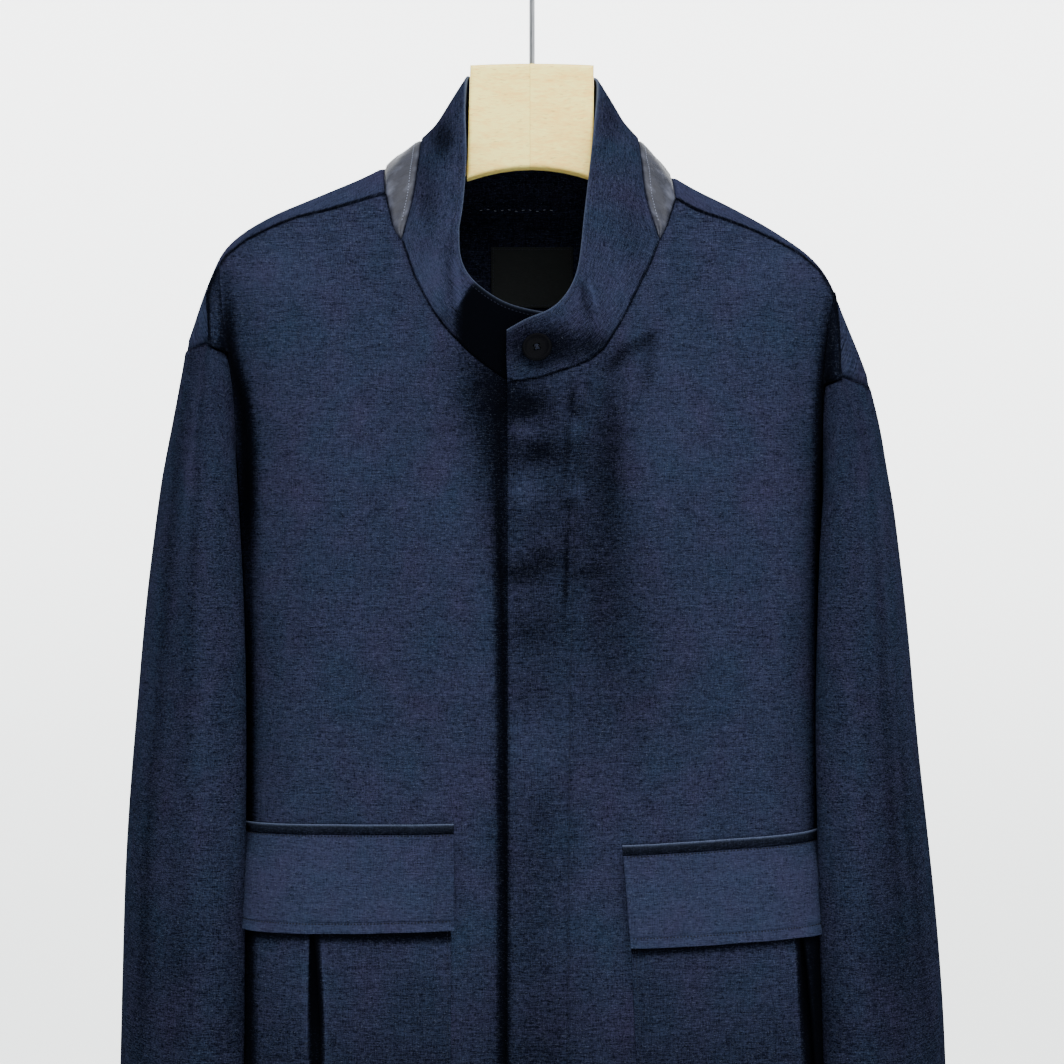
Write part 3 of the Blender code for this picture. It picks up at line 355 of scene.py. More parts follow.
seams = {
    right: {
        "neckline": ((-2, -8.4, 16.5), (0, -8.6, 16.4), (1.8, -8.8, 15.9), (4.2, -8.7, 14.2),
            (5.9, -8.4, 12.5), (6.9, -8, 11.2), (8.2, -7.2, 8.8), (9.3, -6, 5.8)),
        "gussetFront": ((9.3, -6, 5.8), (9.85, -5.6, 5), (10.5, -4.2, 2.3)),
        "shoulder": ((10.5, -4.2, 2.3), (12.7, -4.3, 3), (14.8, -4.3, 3.6), (17, -4.2, 4.1), (19, -4, 4.9),
            (20.7, -3.4, 5.7), (22.1, -2.7, 6.7), (22.7, -2.3, 7.5)),
        "drop": ((22.7, -2.3, 7.5), (23.4, -2.4, 9.3), (23.3, -3, 11.2), (23.15, -3.6, 13)),
        "valley": ((22.7, -2.3, 7.5), (22.45, -2.9, 10.1), (22.2, -3.3, 12.2), (21.9, -3.6, 13.8)),
        "armholeFront": ((-3.6, 13.8), (-3.7, 16.5), (-3.3, 20.5), (-2.5, 25), (-1.4, 30), (0, 33.5)),
        "ridge": ((10.7, 0.5, 0), (12.5, 0.5, 0.9), (14.5, 0.5, 1.75), (16.6, 0.5, 2.65), (18.6, 0.5, 3.5),
            (20.3, 0.5, 4.4), (21.6, 0.5, 5.3), (22.5, 0.5, 6.2), (23, 0.5, 7.1)),
        "ridgeDrop": ((23, 0.5, 7.1), (23.7, 0.5, 8.8), (24.4, 0.5, 10.6), (24.9, 0.5, 12.2),
            (25.4, 0.5, 13.5)),
        "backValley": ((23, 0.5, 7.1), (22.7, 2, 9.6), (22.3, 3.3, 12), (21.9, 4.2, 14.2)),
        "armholeBack": ((4.2, 14.2), (4.3, 17), (3.7, 21), (2.8, 25.5), (1.6, 30), (0, 33.5)),
        "gussetInner": ((9.3, -6, 5.8), (8.55, -4.4, 2.6), (8.3, -2.8, 0.4), (8.1, 0.3, -2), (8.2, 3, -0.6),
            (8.3, 5, 1)),
        "gussetBack": ((10.7, 0.5, 0), (10.1, 3, 0.3), (8.3, 5, 1)),
        "topFront": ((-2, -7.7, 11.1), (-0.6, -7.9, 11.1), (1.76, -8, 10.5), (3.54, -7.6, 9.4),
            (4.6, -6.9, 8.25), (5.09, -6.3, 6.95), (5.18, -5.45, 5)),
        "topSide": ((5.18, -5.45, 5), (4.93, -4.5, 3.2), (4.72, -2.6, -0.5), (4.83, -0.9, -3.9),
            (4.74, 0.3, -6.5), (4.4, 2.6, -7)),
    },
    left: {
        "neckline": ((-1.75, -9.5, 16.2), (0.6, -9.4, 15.8), (2.8, -9.1, 15.1), (4, -8.9, 14.6),
            (5.1, -8.6, 13.7), (6.4, -8, 11.6), (7.5, -7.3, 9.4), (8.5, -6.6, 7.4), (9.1, -6, 5.8)),
        "gussetFront": ((9.1, -6, 5.8), (9.6, -5.5, 4.8), (10.3, -4.2, 2.7)),
        "shoulder": ((10.3, -4.2, 2.7), (11.9, -4.3, 3.6), (14.3, -4.3, 4.4), (16.6, -4.1, 5.3),
            (19.1, -3.5, 6.5), (20.8, -2.7, 7.8), (21.9, -2.2, 9.5)),
        "drop": ((21.9, -2.2, 9.5), (22.1, -2.5, 11.6), (22.15, -3, 13.6), (22.1, -3.6, 15.4)),
        "valley": ((21.9, -2.2, 9.5), (21.5, -3, 11.8), (21.2, -3.5, 14), (21, -3.8, 16.1)),
        "armholeFront": ((-3.8, 16.1), (-3.7, 18.5), (-3.3, 22), (-2.5, 26), (-1.5, 30), (0, 33.5)),
        "ridge": ((10.1, 0.5, 0.65), (12, 0.5, 1.75), (13.7, 0.5, 2.6), (15.4, 0.5, 3.5), (17, 0.5, 4.4),
            (18.4, 0.5, 5.3), (19.7, 0.5, 6.2), (20.7, 0.5, 7.1), (21.4, 0.5, 8), (22, 0.5, 9.1)),
        "ridgeDrop": ((22, 0.5, 9.1), (22.6, 0.5, 10.6), (23.2, 0.5, 12), (23.9, 0.5, 13.6),
            (24.85, 0.5, 16.2)),
        "backValley": ((22, 0.5, 9.1), (21.9, 2, 11.6), (21.6, 3.4, 14.2), (21.3, 4.2, 16.6)),
        "armholeBack": ((4.2, 16.6), (4.2, 19), (3.6, 22.5), (2.7, 26.5), (1.6, 30.2), (0, 33.5)),
        "gussetInner": ((9.1, -6, 5.8), (8.2, -4.4, 2.6), (7.95, -2.4, -0.1), (7.8, 0.3, -2), (7.95, 3, -0.6),
            (8.3, 5, 1)),
        "gussetBack": ((10.1, 0.5, 0.65), (9.8, 3, 0.6), (8.3, 5, 1)),
        "topFront": ((-1.8, -9.5, 12.5), (-0.4, -9.2, 11.7), (1.2, -8.8, 11), (2.2, -8.2, 10.1),
            (2.98, -7.3, 8.7), (3.35, -6.5, 7.2), (3.7, -5, 4)),
        "topSide": ((3.7, -5, 4), (4.05, -3.2, 1.15), (4.45, -1.7, -2.6), (4.76, 0.3, -6.2), (4.4, 2.6, -7)),
    },
}
sleeves = {
    right: np.array([
        (0.13, 0.2540, 0.2150, 0.003, 0.052, 0.006), (0.20, 0.2690, 0.2090, 0.002, 0.068, 0.014),
        (0.30, 0.2830, 0.2060, 0.002, 0.075, 0.020), (0.40, 0.2920, 0.2035, 0.001, 0.077, 0.023),
        (0.50, 0.2990, 0.2020, 0.000, 0.076, 0.024), (0.60, 0.3020, 0.2005, 0.000, 0.074, 0.024),
        (0.70, 0.3040, 0.2010, 0.000, 0.072, 0.024)]),
    left: np.array([
        (0.155, 0.2450, 0.2070, 0.003, 0.052, 0.006), (0.20, 0.2590, 0.2065, 0.002, 0.066, 0.012),
        (0.30, 0.2740, 0.2045, 0.002, 0.075, 0.019), (0.40, 0.2830, 0.2030, 0.001, 0.077, 0.022),
        (0.50, 0.2930, 0.2030, 0.000, 0.076, 0.024), (0.60, 0.3020, 0.2040, 0.000, 0.074, 0.024),
        (0.70, 0.3060, 0.2060, 0.000, 0.072, 0.024)]),
}


for table in seams.values():      # both sides share the back of the neck
    table["backNeckline"] = ((8.3, 5, 1), (5.5, 6.4, 0.8), (2.6, 7, 0.6), (0, 7.1, 0.5))
    table["topBack"] = ((4.4, 2.6, -7), (2.8, 4.1, -7.1), (0, 4.6, -7.1))


def ease(value):
    value = np.clip(value, 0.0, 1.0)
    return value * value * (3 - 2 * value)


def unit(vectors):
    return vectors / np.maximum(np.linalg.norm(vectors, axis=-1, keepdims=True), 1e-12)


# A soft bump of the value's own width, one at its middle
def hump(value, width):
    return np.exp(-(value / width) ** 2)


def lengthsOf(points):
    return np.concatenate([[0], np.cumsum(np.linalg.norm(np.diff(points, axis=0), axis=1))])


# Smooth values at places along a table, whose first column is the place
def between(rows, place):
    rows = np.asarray(rows, float)
    place = np.asarray(place, float)
    keys, values = rows[:, 0], rows[:, 1:]
    count = len(keys)
    low = np.maximum(np.arange(count) - 1, 0)
    high = np.minimum(np.arange(count) + 1, count - 1)
    slopes = (values[high] - values[low]) / (keys[high] - keys[low])[:, None]
    k = np.clip(np.searchsorted(keys, place, side="right") - 1, 0, count - 2)
    span = (keys[k + 1] - keys[k])[..., None]
    t = np.clip((place - keys[k])[..., None] / span, 0, 1)
    return ((2 * t ** 3 - 3 * t ** 2 + 1) * values[k] + (t ** 3 - 2 * t ** 2 + t) * slopes[k] * span
            + (3 * t ** 2 - 2 * t ** 3) * values[k + 1] + (t ** 3 - t ** 2) * slopes[k + 1] * span)


def keyedByLength(points):
    points = np.asarray(points, float)
    places = lengthsOf(points)
    return np.column_stack([places / places[-1], points])


seamRows = {side: {name: keyedByLength(points) for name, points in table.items()} for side,
            table in seams.items()}


def onSeam(side, name, part):
    return between(seamRows[side][name], part) * 0.01


ringRows, ringColumns, ringStep = 160, 240, 0.005
ringDrops = np.linspace(0, ringRows * ringStep, ringRows + 1)


def ringTable(isBack):
    table = []
    angle = np.linspace(0, math.pi / 2, 181)
    for halfWidth, frontDepth, backDepth, squareness in between(torso, ringDrops):
        depth = backDepth if isBack else -frontDepth
        points = np.column_stack([halfWidth * np.sin(angle) ** (2 / squareness),
                                  depth * np.clip(np.cos(angle), 0, 1) ** (2 / squareness)])
        lengths = lengthsOf(points)
        places = np.linspace(0, lengths[-1], ringColumns + 1)
        table.append(np.column_stack([np.interp(places, lengths, points[:, 0]),
                                      np.interp(places, lengths, points[:, 1])]))
    return np.array(table)


rings = {False: ringTable(False), True: ringTable(True)}


def onRing(part, drop, isBack):
    part, drop = np.broadcast_arrays(np.asarray(part, float), np.asarray(drop, float))
    row = np.clip(drop / ringStep, 0, ringRows - 0.001)
    column = np.clip(np.abs(part) * ringColumns, 0, ringColumns - 0.001)
    i, j = row.astype(int), column.astype(int)
    f, g = (row - i)[..., None], (column - j)[..., None]
    table = rings[isBack]
    spot = ((table[i, j] * (1 - g) + table[i, j + 1] * g) * (1 - f)
            + (table[i + 1, j] * (1 - g) + table[i + 1, j + 1] * g) * f)
    lift = 0.0
    for middle, width, depth, start in (backFolds if isBack else frontFolds):
        lift = lift + depth * hump(np.abs(part) - middle, width) * ease((drop - start) / 0.25)
    lift = lift * ease((1 - np.abs(part)) / 0.12)
    away = unit(spot * np.array([0.25, 1.0]))
    spot = spot + away * lift[..., None]
    return np.stack([np.copysign(spot[..., 0], part), spot[..., 1]], -1)


def bodyReach(y, drop):
    halfWidth, frontDepth, backDepth, squareness = np.moveaxis(between(torso, drop), -1, 0)
    depth = np.where(y > 0, backDepth, frontDepth)
    return halfWidth * (1 - np.minimum(np.abs(y) / depth, 1.0) ** squareness) ** (1 / squareness)


def valleySpread(side, drop, isBack):
    corner = onSeam(side, "backValley" if isBack else "valley", 1.0)
    spread = corner[0] - bodyReach(corner[1], corner[2])
    return spread * np.exp(-(np.maximum(drop - corner[2], 0.0) / settle) ** frontBend)


def onArmhole(side, part, isBack):
    rows = seamRows[side]["armholeBack" if isBack else "armholeFront"]
    y, drop = np.moveaxis(between(rows, part) * 0.01, -1, 0)
    return np.stack([bodyReach(y, drop) + valleySpread(side, drop, isBack), y, drop], -1)


def topTable(side, isBack):
    start = 0.0 if isBack else frontStart[side]
    rows = []
    for part in topParts:
        if isBack and part <= atBackApex:
            rows.append(onSeam(side, "backNeckline", 1 - max(part, 0) / atBackApex))
        elif isBack and part <= atGusset:
            rows.append(onSeam(side, "gussetBack", 1 - (part - atBackApex) / (atGusset - atBackApex)))
        elif not isBack and part <= atApex:
            rows.append(onSeam(side, "neckline", (part - start) / (atApex - start)))
        elif not isBack and part <= atGusset:
            rows.append(onSeam(side, "gussetFront", (part - atApex) / (atGusset - atApex)))
        elif part <= atTip:
            rows.append(onSeam(side, "ridge" if isBack else "shoulder",
                               (part - atGusset) / (atTip - atGusset)))
        elif part <= atDropEnd:
            rows.append(onSeam(side, "backValley" if isBack else "valley",
                               (part - atTip) / (atDropEnd - atTip)))
        else:
            rows.append(onArmhole(side, (part - atDropEnd) / (1 - atDropEnd), isBack))
    return np.array(rows)


topParts = np.unique(np.concatenate([np.linspace(-0.08, 1, 541),
                                     [atApex, atGusset, atTip, atDropEnd, atBackApex]]))
tops = {(side, isBack): topTable(side, isBack) for side in (right, left) for isBack in (False, True)}


def topOf(side, part, isBack):
    table = tops[side, isBack]
    return np.stack([np.interp(part, topParts, table[:, c]) for c in range(3)], -1)


# The edge of the dropped shoulder leans over from the seam to the ridge in one arch
def arch(seam, ridge, t):
    bend = ridge.copy()
    bend[..., 1] += 0.7 * (seam[..., 1] - ridge[..., 1])
    return seam * (1 - t) ** 2 + bend * 2 * t * (1 - t) + ridge * t ** 2


# The panel's end between the drop and the valley, swelling a little as it goes down
def dropSurface(side, isBack, along, across):
    first = onSeam(side, "ridgeDrop" if isBack else "drop", along)
    last = onSeam(side, "backValley" if isBack else "valley", along)
    spot = first + (last - first) * across[..., None]
    swell = dropBulge * np.sin(math.pi * across ** 0.8) * along
    spot[..., 1] += swell if isBack else -swell
    spot[..., 0] += swell * 0.5
    return spot


def placed(side, spots):
    return np.stack([side * spots[..., 0], spots[..., 1], neckLevel - spots[..., 2]], -1)


# Out from the centre plane and down from the neck points, as the tables count
def onSheet(points):
    return np.stack([points[..., 0], neckLevel - points[..., 2]], -1)


def bodyPoint(side, part, drop, isBack):
    part, drop = np.broadcast_arrays(np.asarray(part, float), np.asarray(drop, float))
    top = topOf(side, part, isBack)
    here = onRing(part, drop, isBack)
    there = onRing(part, top[..., 2], isBack)
    lap = lapStep * ease((0.22 - part) / 0.14) if side == right and not isBack else 0.0 * part
    shift = np.stack([0 * lap, lap], -1)
    bend = frontBend + 0 * part
    if isBack:
        bend = backBend + (frontBend - backBend) * ease((part - 0.66) / 0.16)
    keep = np.exp(-(np.maximum(drop - top[..., 2], 0.0) / settle) ** bend)[..., None]
    spot = here + shift + (top[..., :2] - there - shift) * keep
    return np.stack([side * spot[..., 0], spot[..., 1], neckLevel - drop], -1)


# creases, placed on the sheets: centimetres out from the centre and down, width and height in mm

creases = {
    (right, False): [
        (((-2.9, 24.5), (-2.6, 33), (-3.2, 42)), 9, 0.9), (((-5.6, 15), (-6.6, 24), (-7.4, 34)), 12, 1.3),
        (((-10.5, 9.5), (-13.5, 22), (-14.2, 40)), 17, 1.4), (((-17.5, 12), (-18.2, 26), (-17, 44)), 13,
        -1.3), (((-11.6, 6.2), (-13.6, 7.4)), 4, -1), (((-14.2, 4.6), (-12.9, 6.6)), 4, 0.7), (((-8.4, 12),
        (-9.6, 19), (-10, 27)), 8, -1.1), (((-19.4, 14.8), (-16.9, 15.1)), 1.3, 0.35), (((-20.2, 10),
        (-18.6, 17), (-18.2, 22)), 7, 0.8), (((-4, 50), (-4.2, 62), (-4, 75)), 10, 0.9), (((-19, 33.5),
        (-16.6, 35), (-13.5, 35.2)), 5, 0.45), (((-2.4, 19.5), (-5, 22), (-8.5, 23.2)), 6, 0.5), (((-12, 36),
        (-8, 37.6), (-3, 37.2)), 7, 0.4),
    ],
    (left, False): [
        (((3.4, 18.5), (3.6, 30), (3.2, 39)), 8, 1.1), (((6.2, 17.5), (6.9, 27), (6.5, 40)), 11, -1.6),
        (((9.6, 16.5), (10.8, 28), (10.2, 44)), 14, 1.5), (((13.6, 8.5), (15, 20), (15.2, 38)), 15, -1.2),
        (((17.5, 12), (18.4, 24), (18, 42)), 10, 1.3), (((2.6, 16.6), (5.2, 15.8), (8, 14)), 5, -0.9),
        (((2.6, 19.5), (3.4, 21.3), (5.4, 22.3)), 4, 0.8), (((2.5, 23), (3.6, 24.2), (4.2, 26)), 4, 0.7),
        (((2.4, 35), (4, 36.8), (6.6, 37.2)), 5, 0.7), (((-1.2, 40.5), (1, 41.5), (2.2, 43.8)), 9, 0.9),
        (((2.8, 48), (3, 60), (2.6, 74)), 9, 0.8), (((11, 5.8), (12.6, 8), (13.2, 11)), 6, 0.8), (((19.6, 31),
        (17, 33.2), (13, 33.8)), 6, 0.5), (((8, 38), (12, 39.5), (18, 38.6)), 8, 0.5),
    ],
    (right, True): [
        (((-6, 9), (-7.5, 24), (-7, 44)), 14, 1.6), (((-14, 9), (-15.2, 26), (-14, 50)), 16, -1.6),
        (((-18.5, 18), (-19, 32), (-17.5, 48)), 9, 1.2), (((-17, 16), (-12, 18.5), (-6, 18)), 8, 0.8),
        (((-4, 55), (-5.5, 64), (-5, 75.5)), 12, 1.1), (((-13, 58), (-9, 60), (-3, 59)), 8, 0.5),
    ],
    (left, True): [
        (((5, 8), (5.6, 26), (7.5, 46)), 15, 1.4), (((12.5, 10), (13.8, 24), (13.2, 46)), 15, -1.7),
        (((18.2, 19), (18.6, 34), (18, 50)), 9, 1.1), (((16, 15), (11, 17), (7, 16.2)), 7, 0.7), (((2, 30),
        (1.6, 44), (2.6, 58)), 12, -1.1), (((8, 62), (9, 68), (8.4, 75.5)), 11, 1),
    ],
}


# Height of one soft crease at places on a sheet, fading out at both of its ends
def crease(places, path, width, height, fade=0.3):
    path = np.asarray(path, float)
    lengths = lengthsOf(path)
    best = np.full(places.shape[:-1], 1e9)
    along = np.zeros(places.shape[:-1])
    for k in range(len(path) - 1):
        step = path[k + 1] - path[k]
        t = np.clip(((places - path[k]) @ step) / (step @ step), 0, 1)
        away = np.linalg.norm(places - path[k] - t[..., None] * step, axis=-1)
        closer = away < best
        best = np.where(closer, away, best)
        along = np.where(closer, (lengths[k] + t * (lengths[k + 1] - lengths[k])) / lengths[-1], along)
    ends = ease(along / fade) * ease((1 - along) / fade) * 0.9 + 0.1
    return height * hump(best, width) * ends


# All creases of a table, whose paths are in centimetres and widths and heights in millimetres
def foldsAt(places, rows, heightUnit=0.001):
    total = np.zeros(places.shape[:-1])
    for path, width, height in rows:
        total += crease(places, np.array(path) * 0.01, width * 0.001, height * heightUnit)
    return total


def relief(side, spots, isBack):
    places = onSheet(spots)
    total = foldsAt(places, creases[side, isBack])
    x, drop = places[..., 0] * 100, places[..., 1] * 100
    total += 0.00022 * np.sin(x * 0.9 + 1.3 * np.sin(drop * 0.21 + side)) * np.sin(drop * 0.37 + x * 0.15)
    total += 0.00012 * np.sin(x * 2.3 - drop * 0.55 + 2 * side) * np.sin(drop * 1.1 + x * 0.4)
    return total


# Painted shade and light on the fronts: centimetres out and down, reach both ways in cm, amount. Then painted
# shadows along a path in centimetres, with a width in mm and an amount
frontShades = [
    (4.5, 22, 2.4, 7, -0.22), (5.6, 21.5, 0.8, 6, -0.20), (5.2, 31, 2.2, 7, -0.17), (6.8, 36, 3.6, 9, -0.08),
    (-0.2, 17.8, 1.3, 0.8, -0.50), (0.6, 21.1, 1.5, 0.8, -0.40), (-0.8, 29.6, 1.6, 0.8, -0.36),
    (1, 28.6, 1.5, 0.7, -0.26), (-0.2, 33.6, 2, 1, -0.16), (0.2, 46, 2.4, 40, -0.14),
    (3.8, 29.6, 1, 0.5, -0.22), (-0.8, 19.6, 1.2, 0.55, 0.22), (-0.6, 23.8, 1.6, 1, 0.24),
    (3.2, 19.4, 0.7, 0.7, 0.20), (3.2, 23.9, 0.5, 0.6, 0.26), (2.7, 24.7, 0.35, 0.3, -0.34),
    (0.2, 41.8, 2, 2.6, 0.20), (1.2, 25, 2.4, 12, -0.10), (-2.9, 16.6, 2.3, 3.4, -0.52),
    (-2.6, 22, 1.3, 5.5, -0.34), (-22.6, 11.4, 0.6, 2.4, 0.5), (22.5, 12.4, 0.5, 2.2, 0.4),
    (-18.5, 8.2, 2.6, 1.6, 0.22), (18, 8, 2.6, 1.5, 0.16), (-12.5, 17, 6, 6, 0.04), (9.8, 18.5, 2.2, 5, 0.10),
]
frontShadows = [
    (((-22.5, 7), (-21.9, 13.6), (-20.7, 17.5), (-20.4, 20.5), (-20.2, 30)), 6, -1.1), (((-20.3, 22),
    (-20.2, 36), (-20.1, 48), (-20, 60), (-20, 90)), 3.6, -0.8), (((22, 8), (21.3, 13.5), (20.9, 18),
    (20.7, 26), (20.6, 36)), 5.5, -1), (((20.7, 24), (20.6, 40), (20.4, 60), (20.4, 90)), 3.4, -0.8),
    (((-2.15, 10), (-2.3, 24), (-2.1, 36), (-2, 50), (-1.8, 95)), 3.6, -0.85), (((5, 15.6), (6.6, 13.9),
    (8.4, 12.9), (9.6, 12.6)), 4.5, -0.36), (((8.4, 12.6), (8.3, 14.6), (8, 17.4)), 5, -0.20), (((2.6, 16),
    (2.9, 18), (3.6, 19.2)), 2.4, -0.34), (((2.62, 17.5), (2.45, 24), (2.35, 30), (2.4, 36)), 1.2, -0.4),
]


def shadeOf(points, shades, shadows=()):
    places = onSheet(points)
    x, drop = places.T * 100
    total = np.zeros(len(points))
    for middle, down, wide, tall, amount in shades:
        total += amount * np.exp(-((x - middle) / wide) ** 2 - ((drop - down) / tall) ** 2)
    return total + foldsAt(places, shadows, 1)


# Painted shade along one of the seams of either side, for the dark line that a seam makes
def seamLine(points, name, width, amount, sides=(right, left)):
    places = onSheet(points)
    total = np.zeros(len(points))
    for side in sides:
        path = np.array(seams[side][name])[:, [0, 2]] * np.array([side, 1.0]) * 0.01
        total += crease(places, path, width * 0.001, amount, 0.02)
    return total


def frontShade(points, side):
    drop = neckLevel - points[:, 2]
    # painted shade and light from the tables, darker towards the hem, and painted shade along the seams
    total = shadeOf(points, frontShades, frontShadows) - 0.25 * ease((drop - 0.53) / 0.16)
    for name, width, amount in (("shoulder", 1.0, -0.9), ("gussetFront", 0.8, -0.7), ("neckline", 0.8, -0.6),
                                ("drop", 0.9, -0.8)):
        total += seamLine(points, name, width, amount, (side,))
    return total


def backShade(points):
    drop = neckLevel - points[:, 2]
    # painted light on the strip in front of the shoulder ridge, painted shade lower down and along the
    # shoulder seam
    ahead = ease((0.02 - points[:, 1]) / 0.02) * (1 - ease((drop - 0.10) / 0.04))
    return 0.16 * ahead - 0.1 * ease((drop - 0.5) / 0.2) + seamLine(points, "shoulder", 0.9,
                                                                    -0.9) * (points[:, 1] < -0.01)


placket = {"width": 0.0415, "rise": 0.0007, "bumps": (19.0, 24.0, 29.5, 36.0, 42.5, 49.5, 57.0, 64.5)}


# The linen's outer face on a front or the back, creased, with its normal
def bodySurface(side, part, drop, isBack, lift=0.0):
    part, drop = np.broadcast_arrays(np.asarray(part, float), np.asarray(drop, float))
    spot = bodyPoint(side, part, drop, isBack)
    across = bodyPoint(side, part + 0.006, drop, isBack) - bodyPoint(side, part - 0.006, drop, isBack)
    down = bodyPoint(side, part, drop + 0.003, isBack) - bodyPoint(side, part, drop - 0.003, isBack)
    normal = unit(np.cross(across, down)) * (-side if not isBack else side)
    height = relief(side, spot, isBack) * ease((drop - topOf(side, part, isBack)[..., 2]) / 0.03)
    if side == left and not isBack:
        inside = (part - frontStart[left]) * frontSpan
        band = ease((placket["width"] - inside) / 0.0016)
        height = height + placket["rise"] * band
        height = height - 0.0009 * hump(inside - placket["width"], 0.0012)
        for middle in placket["bumps"]:      # where the hidden buttons press from behind
            height = height + 0.0021 * np.exp(-(((inside - 0.021) / 0.012) ** 2
                                                + ((drop * 100 - middle) / 1.15) ** 2))
            height = height - 0.0014 * np.exp(-(((inside - 0.026) / 0.016) ** 2
                                                + ((drop * 100 - middle - 2.2) / 0.9) ** 2))
    return spot + normal * (height + lift)[..., None], normal


# sheets of cloth as closed thin shells

def gridNormals(spots, inside):
    down = np.gradient(spots, axis=0)
    across = np.gradient(spots, axis=1)
    normal = unit(np.cross(across, down))
    return normal * (1 if np.sum(normal * (spots - np.asarray(inside))) > 0 else -1)


def treeOf(points, marks=None):
    tree = KDTree(len(points))
    for k, point in enumerate(points):
        tree.insert(point, k if marks is None else int(marks[k]))
    tree.balance()
    return tree


# Each grid is points, flat places for the weave, and the names of its free edges. A free edge is rounded
# like a fold. Any other edge is a seam, where the sheet dips and runs on under its neighbour.
def cloth(name, grids, finish, half, inside, seam=(0.0015, 0.0009), lip=0.0, smooth=None, rubbedAndHighlit="",
          shade=None,
          insidePaintedShade=None):
    points, found, faces, flats, free, wornAndHighlit = [], {}, [], [], set(), set()
    for spots, flat, edges in grids:
        rows, columns = spots.shape[:2]
        marks = []
        for spot in spots.reshape(-1, 3):
            key = tuple(np.round(spot, 6))
            if key not in found:
                found[key] = len(points)
                points.append(spot)
            marks.append(found[key])
        marks = np.array(marks).reshape(rows, columns)
        sides = {"top": marks[0], "bottom": marks[-1], "start": marks[:, 0], "end": marks[:, -1]}
        for edge in edges.split():
            free.update(sides[edge].tolist())
            if edge in rubbedAndHighlit.split():
                wornAndHighlit.update(sides[edge].tolist())
        for r in range(rows - 1):
            for c in range(columns - 1):
                corners = ((r, c), (r + 1, c), (r + 1, c + 1), (r, c + 1))
                kept = {}
                for place in corners:
                    kept.setdefault(int(marks[place]), flat[place])
                if len(kept) > 2:
                    faces.append(list(kept))
                    flats.append(list(kept.values()))
    points = np.array(points)
    quads = np.array([face + face[-1:] * (4 - len(face)) for face in faces])
    pairs = np.concatenate([np.sort([[a, b] for a, b in zip(face, face[1:] + face[:1])], axis=1)
                            for face in faces])
    edges, counts = np.unique(pairs, axis=0, return_counts=True)
    rim = set(edges[counts == 1].ravel().tolist())
    if smooth:
        for _ in range(smooth[1]):
            total = np.zeros_like(points)
            number = np.zeros(len(points))
            for a, b in ((0, 1), (1, 0)):
                np.add.at(total, edges[:, a], points[edges[:, b]])
                np.add.at(number, edges[:, a], 1)
            moved = 0.5 * points + 0.5 * total / number[:, None]
            keep = smooth[0](points)[:, None]
            keep[list(rim)] = 0
            points = points + (moved - points) * keep
    normals = np.zeros_like(points)
    turned = np.cross(points[quads[:, 2]] - points[quads[:, 0]], points[quads[:, 3]] - points[quads[:, 1]])
    for c in range(4):
        np.add.at(normals, quads[:, c], turned)
    normals = unit(normals)
    if np.sum(normals * (points - np.asarray(inside))) < 0:
        normals = -normals
        faces = [face[::-1] for face in faces]
        flats = [flat[::-1] for flat in flats]
    inner = {}
    for face in faces:
        for mark in face:
            if mark in rim:
                inner.setdefault(mark, []).extend(k for k in face if k not in rim)
    folded = [k for k in rim if k in free]
    joined = [k for k in rim if k not in free]
    away = {word: np.full(len(points), 1.0) for word in ("free", "sewn", "wornAndHighlit")}
    for word, marks in (("free", folded), ("sewn", joined), ("wornAndHighlit", sorted(wornAndHighlit))):
        if marks:
            tree = treeOf(points[marks])
            away[word] = np.array([tree.find(spot)[2] for spot in points])
    thick = half(points) if callable(half) else np.full(len(points), half)
    shrink = np.sqrt(1 - (1 - np.clip(away["free"] / thick, 0, 1)) ** 2)
    thick = thick * np.where(away["sewn"] < 1e-9, 0, shrink)
    points = points - normals * (seam[0] * hump(away["sewn"], 0.0011))[:, None]
    spare = points.copy()
    for k, near in inner.items():
        if near:
            toward = spare[near].mean(axis=0) - spare[k]
            toward /= max(np.linalg.norm(toward), 1e-9)
            points[k] += toward * (lip if k in free else -seam[1])
    isRim = np.zeros(len(points), bool)
    isRim[list(rim)] = True
    outer = points + normals * thick[:, None] * ~isRim[:, None]
    second = np.arange(len(points))
    second[~isRim] = len(points) + np.arange((~isRim).sum())
    under = (points - normals * thick[:, None])[~isRim]
    every = np.concatenate([outer, under])
    allFaces = faces + [[int(second[k]) for k in face[::-1]] for face in faces]
    allFlats = flats + [flat[::-1] for flat in flats]
    mesh = newMesh(name, every.tolist(), allFaces)
    layer = mesh.uv_layers.new(name="flat")
    layer.data.foreach_set("uv", np.concatenate([np.array(flat) for flat in allFlats]).ravel())
    # rubbed top edges are paler, partly wear and partly a painted highlight along the fold
    for word, values in (("wearAndHighlight", np.exp(-away["wornAndHighlit"] / 0.0006)),
                         ("shade", shade(points) if shade else 0 * thick)):
        attribute = mesh.attributes.new(word, "FLOAT", "POINT")
        attribute.data.foreach_set("value", np.concatenate([values, values[~isRim]]))
    mesh.shade_smooth()
    made = newObject(name, mesh)
    mesh.materials.append(finish)
    # the inner faces take the copy of the linen with painted shade
    if insidePaintedShade:
        mesh.materials.append(insidePaintedShade)
        mesh.polygons.foreach_set("material_index", np.repeat([0, 1], len(faces)))
    print(name, len(allFaces) * 2, "triangles")
    return made


def dress(piece, node=None):
    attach(piece, "root")
    if node:
        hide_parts(node)


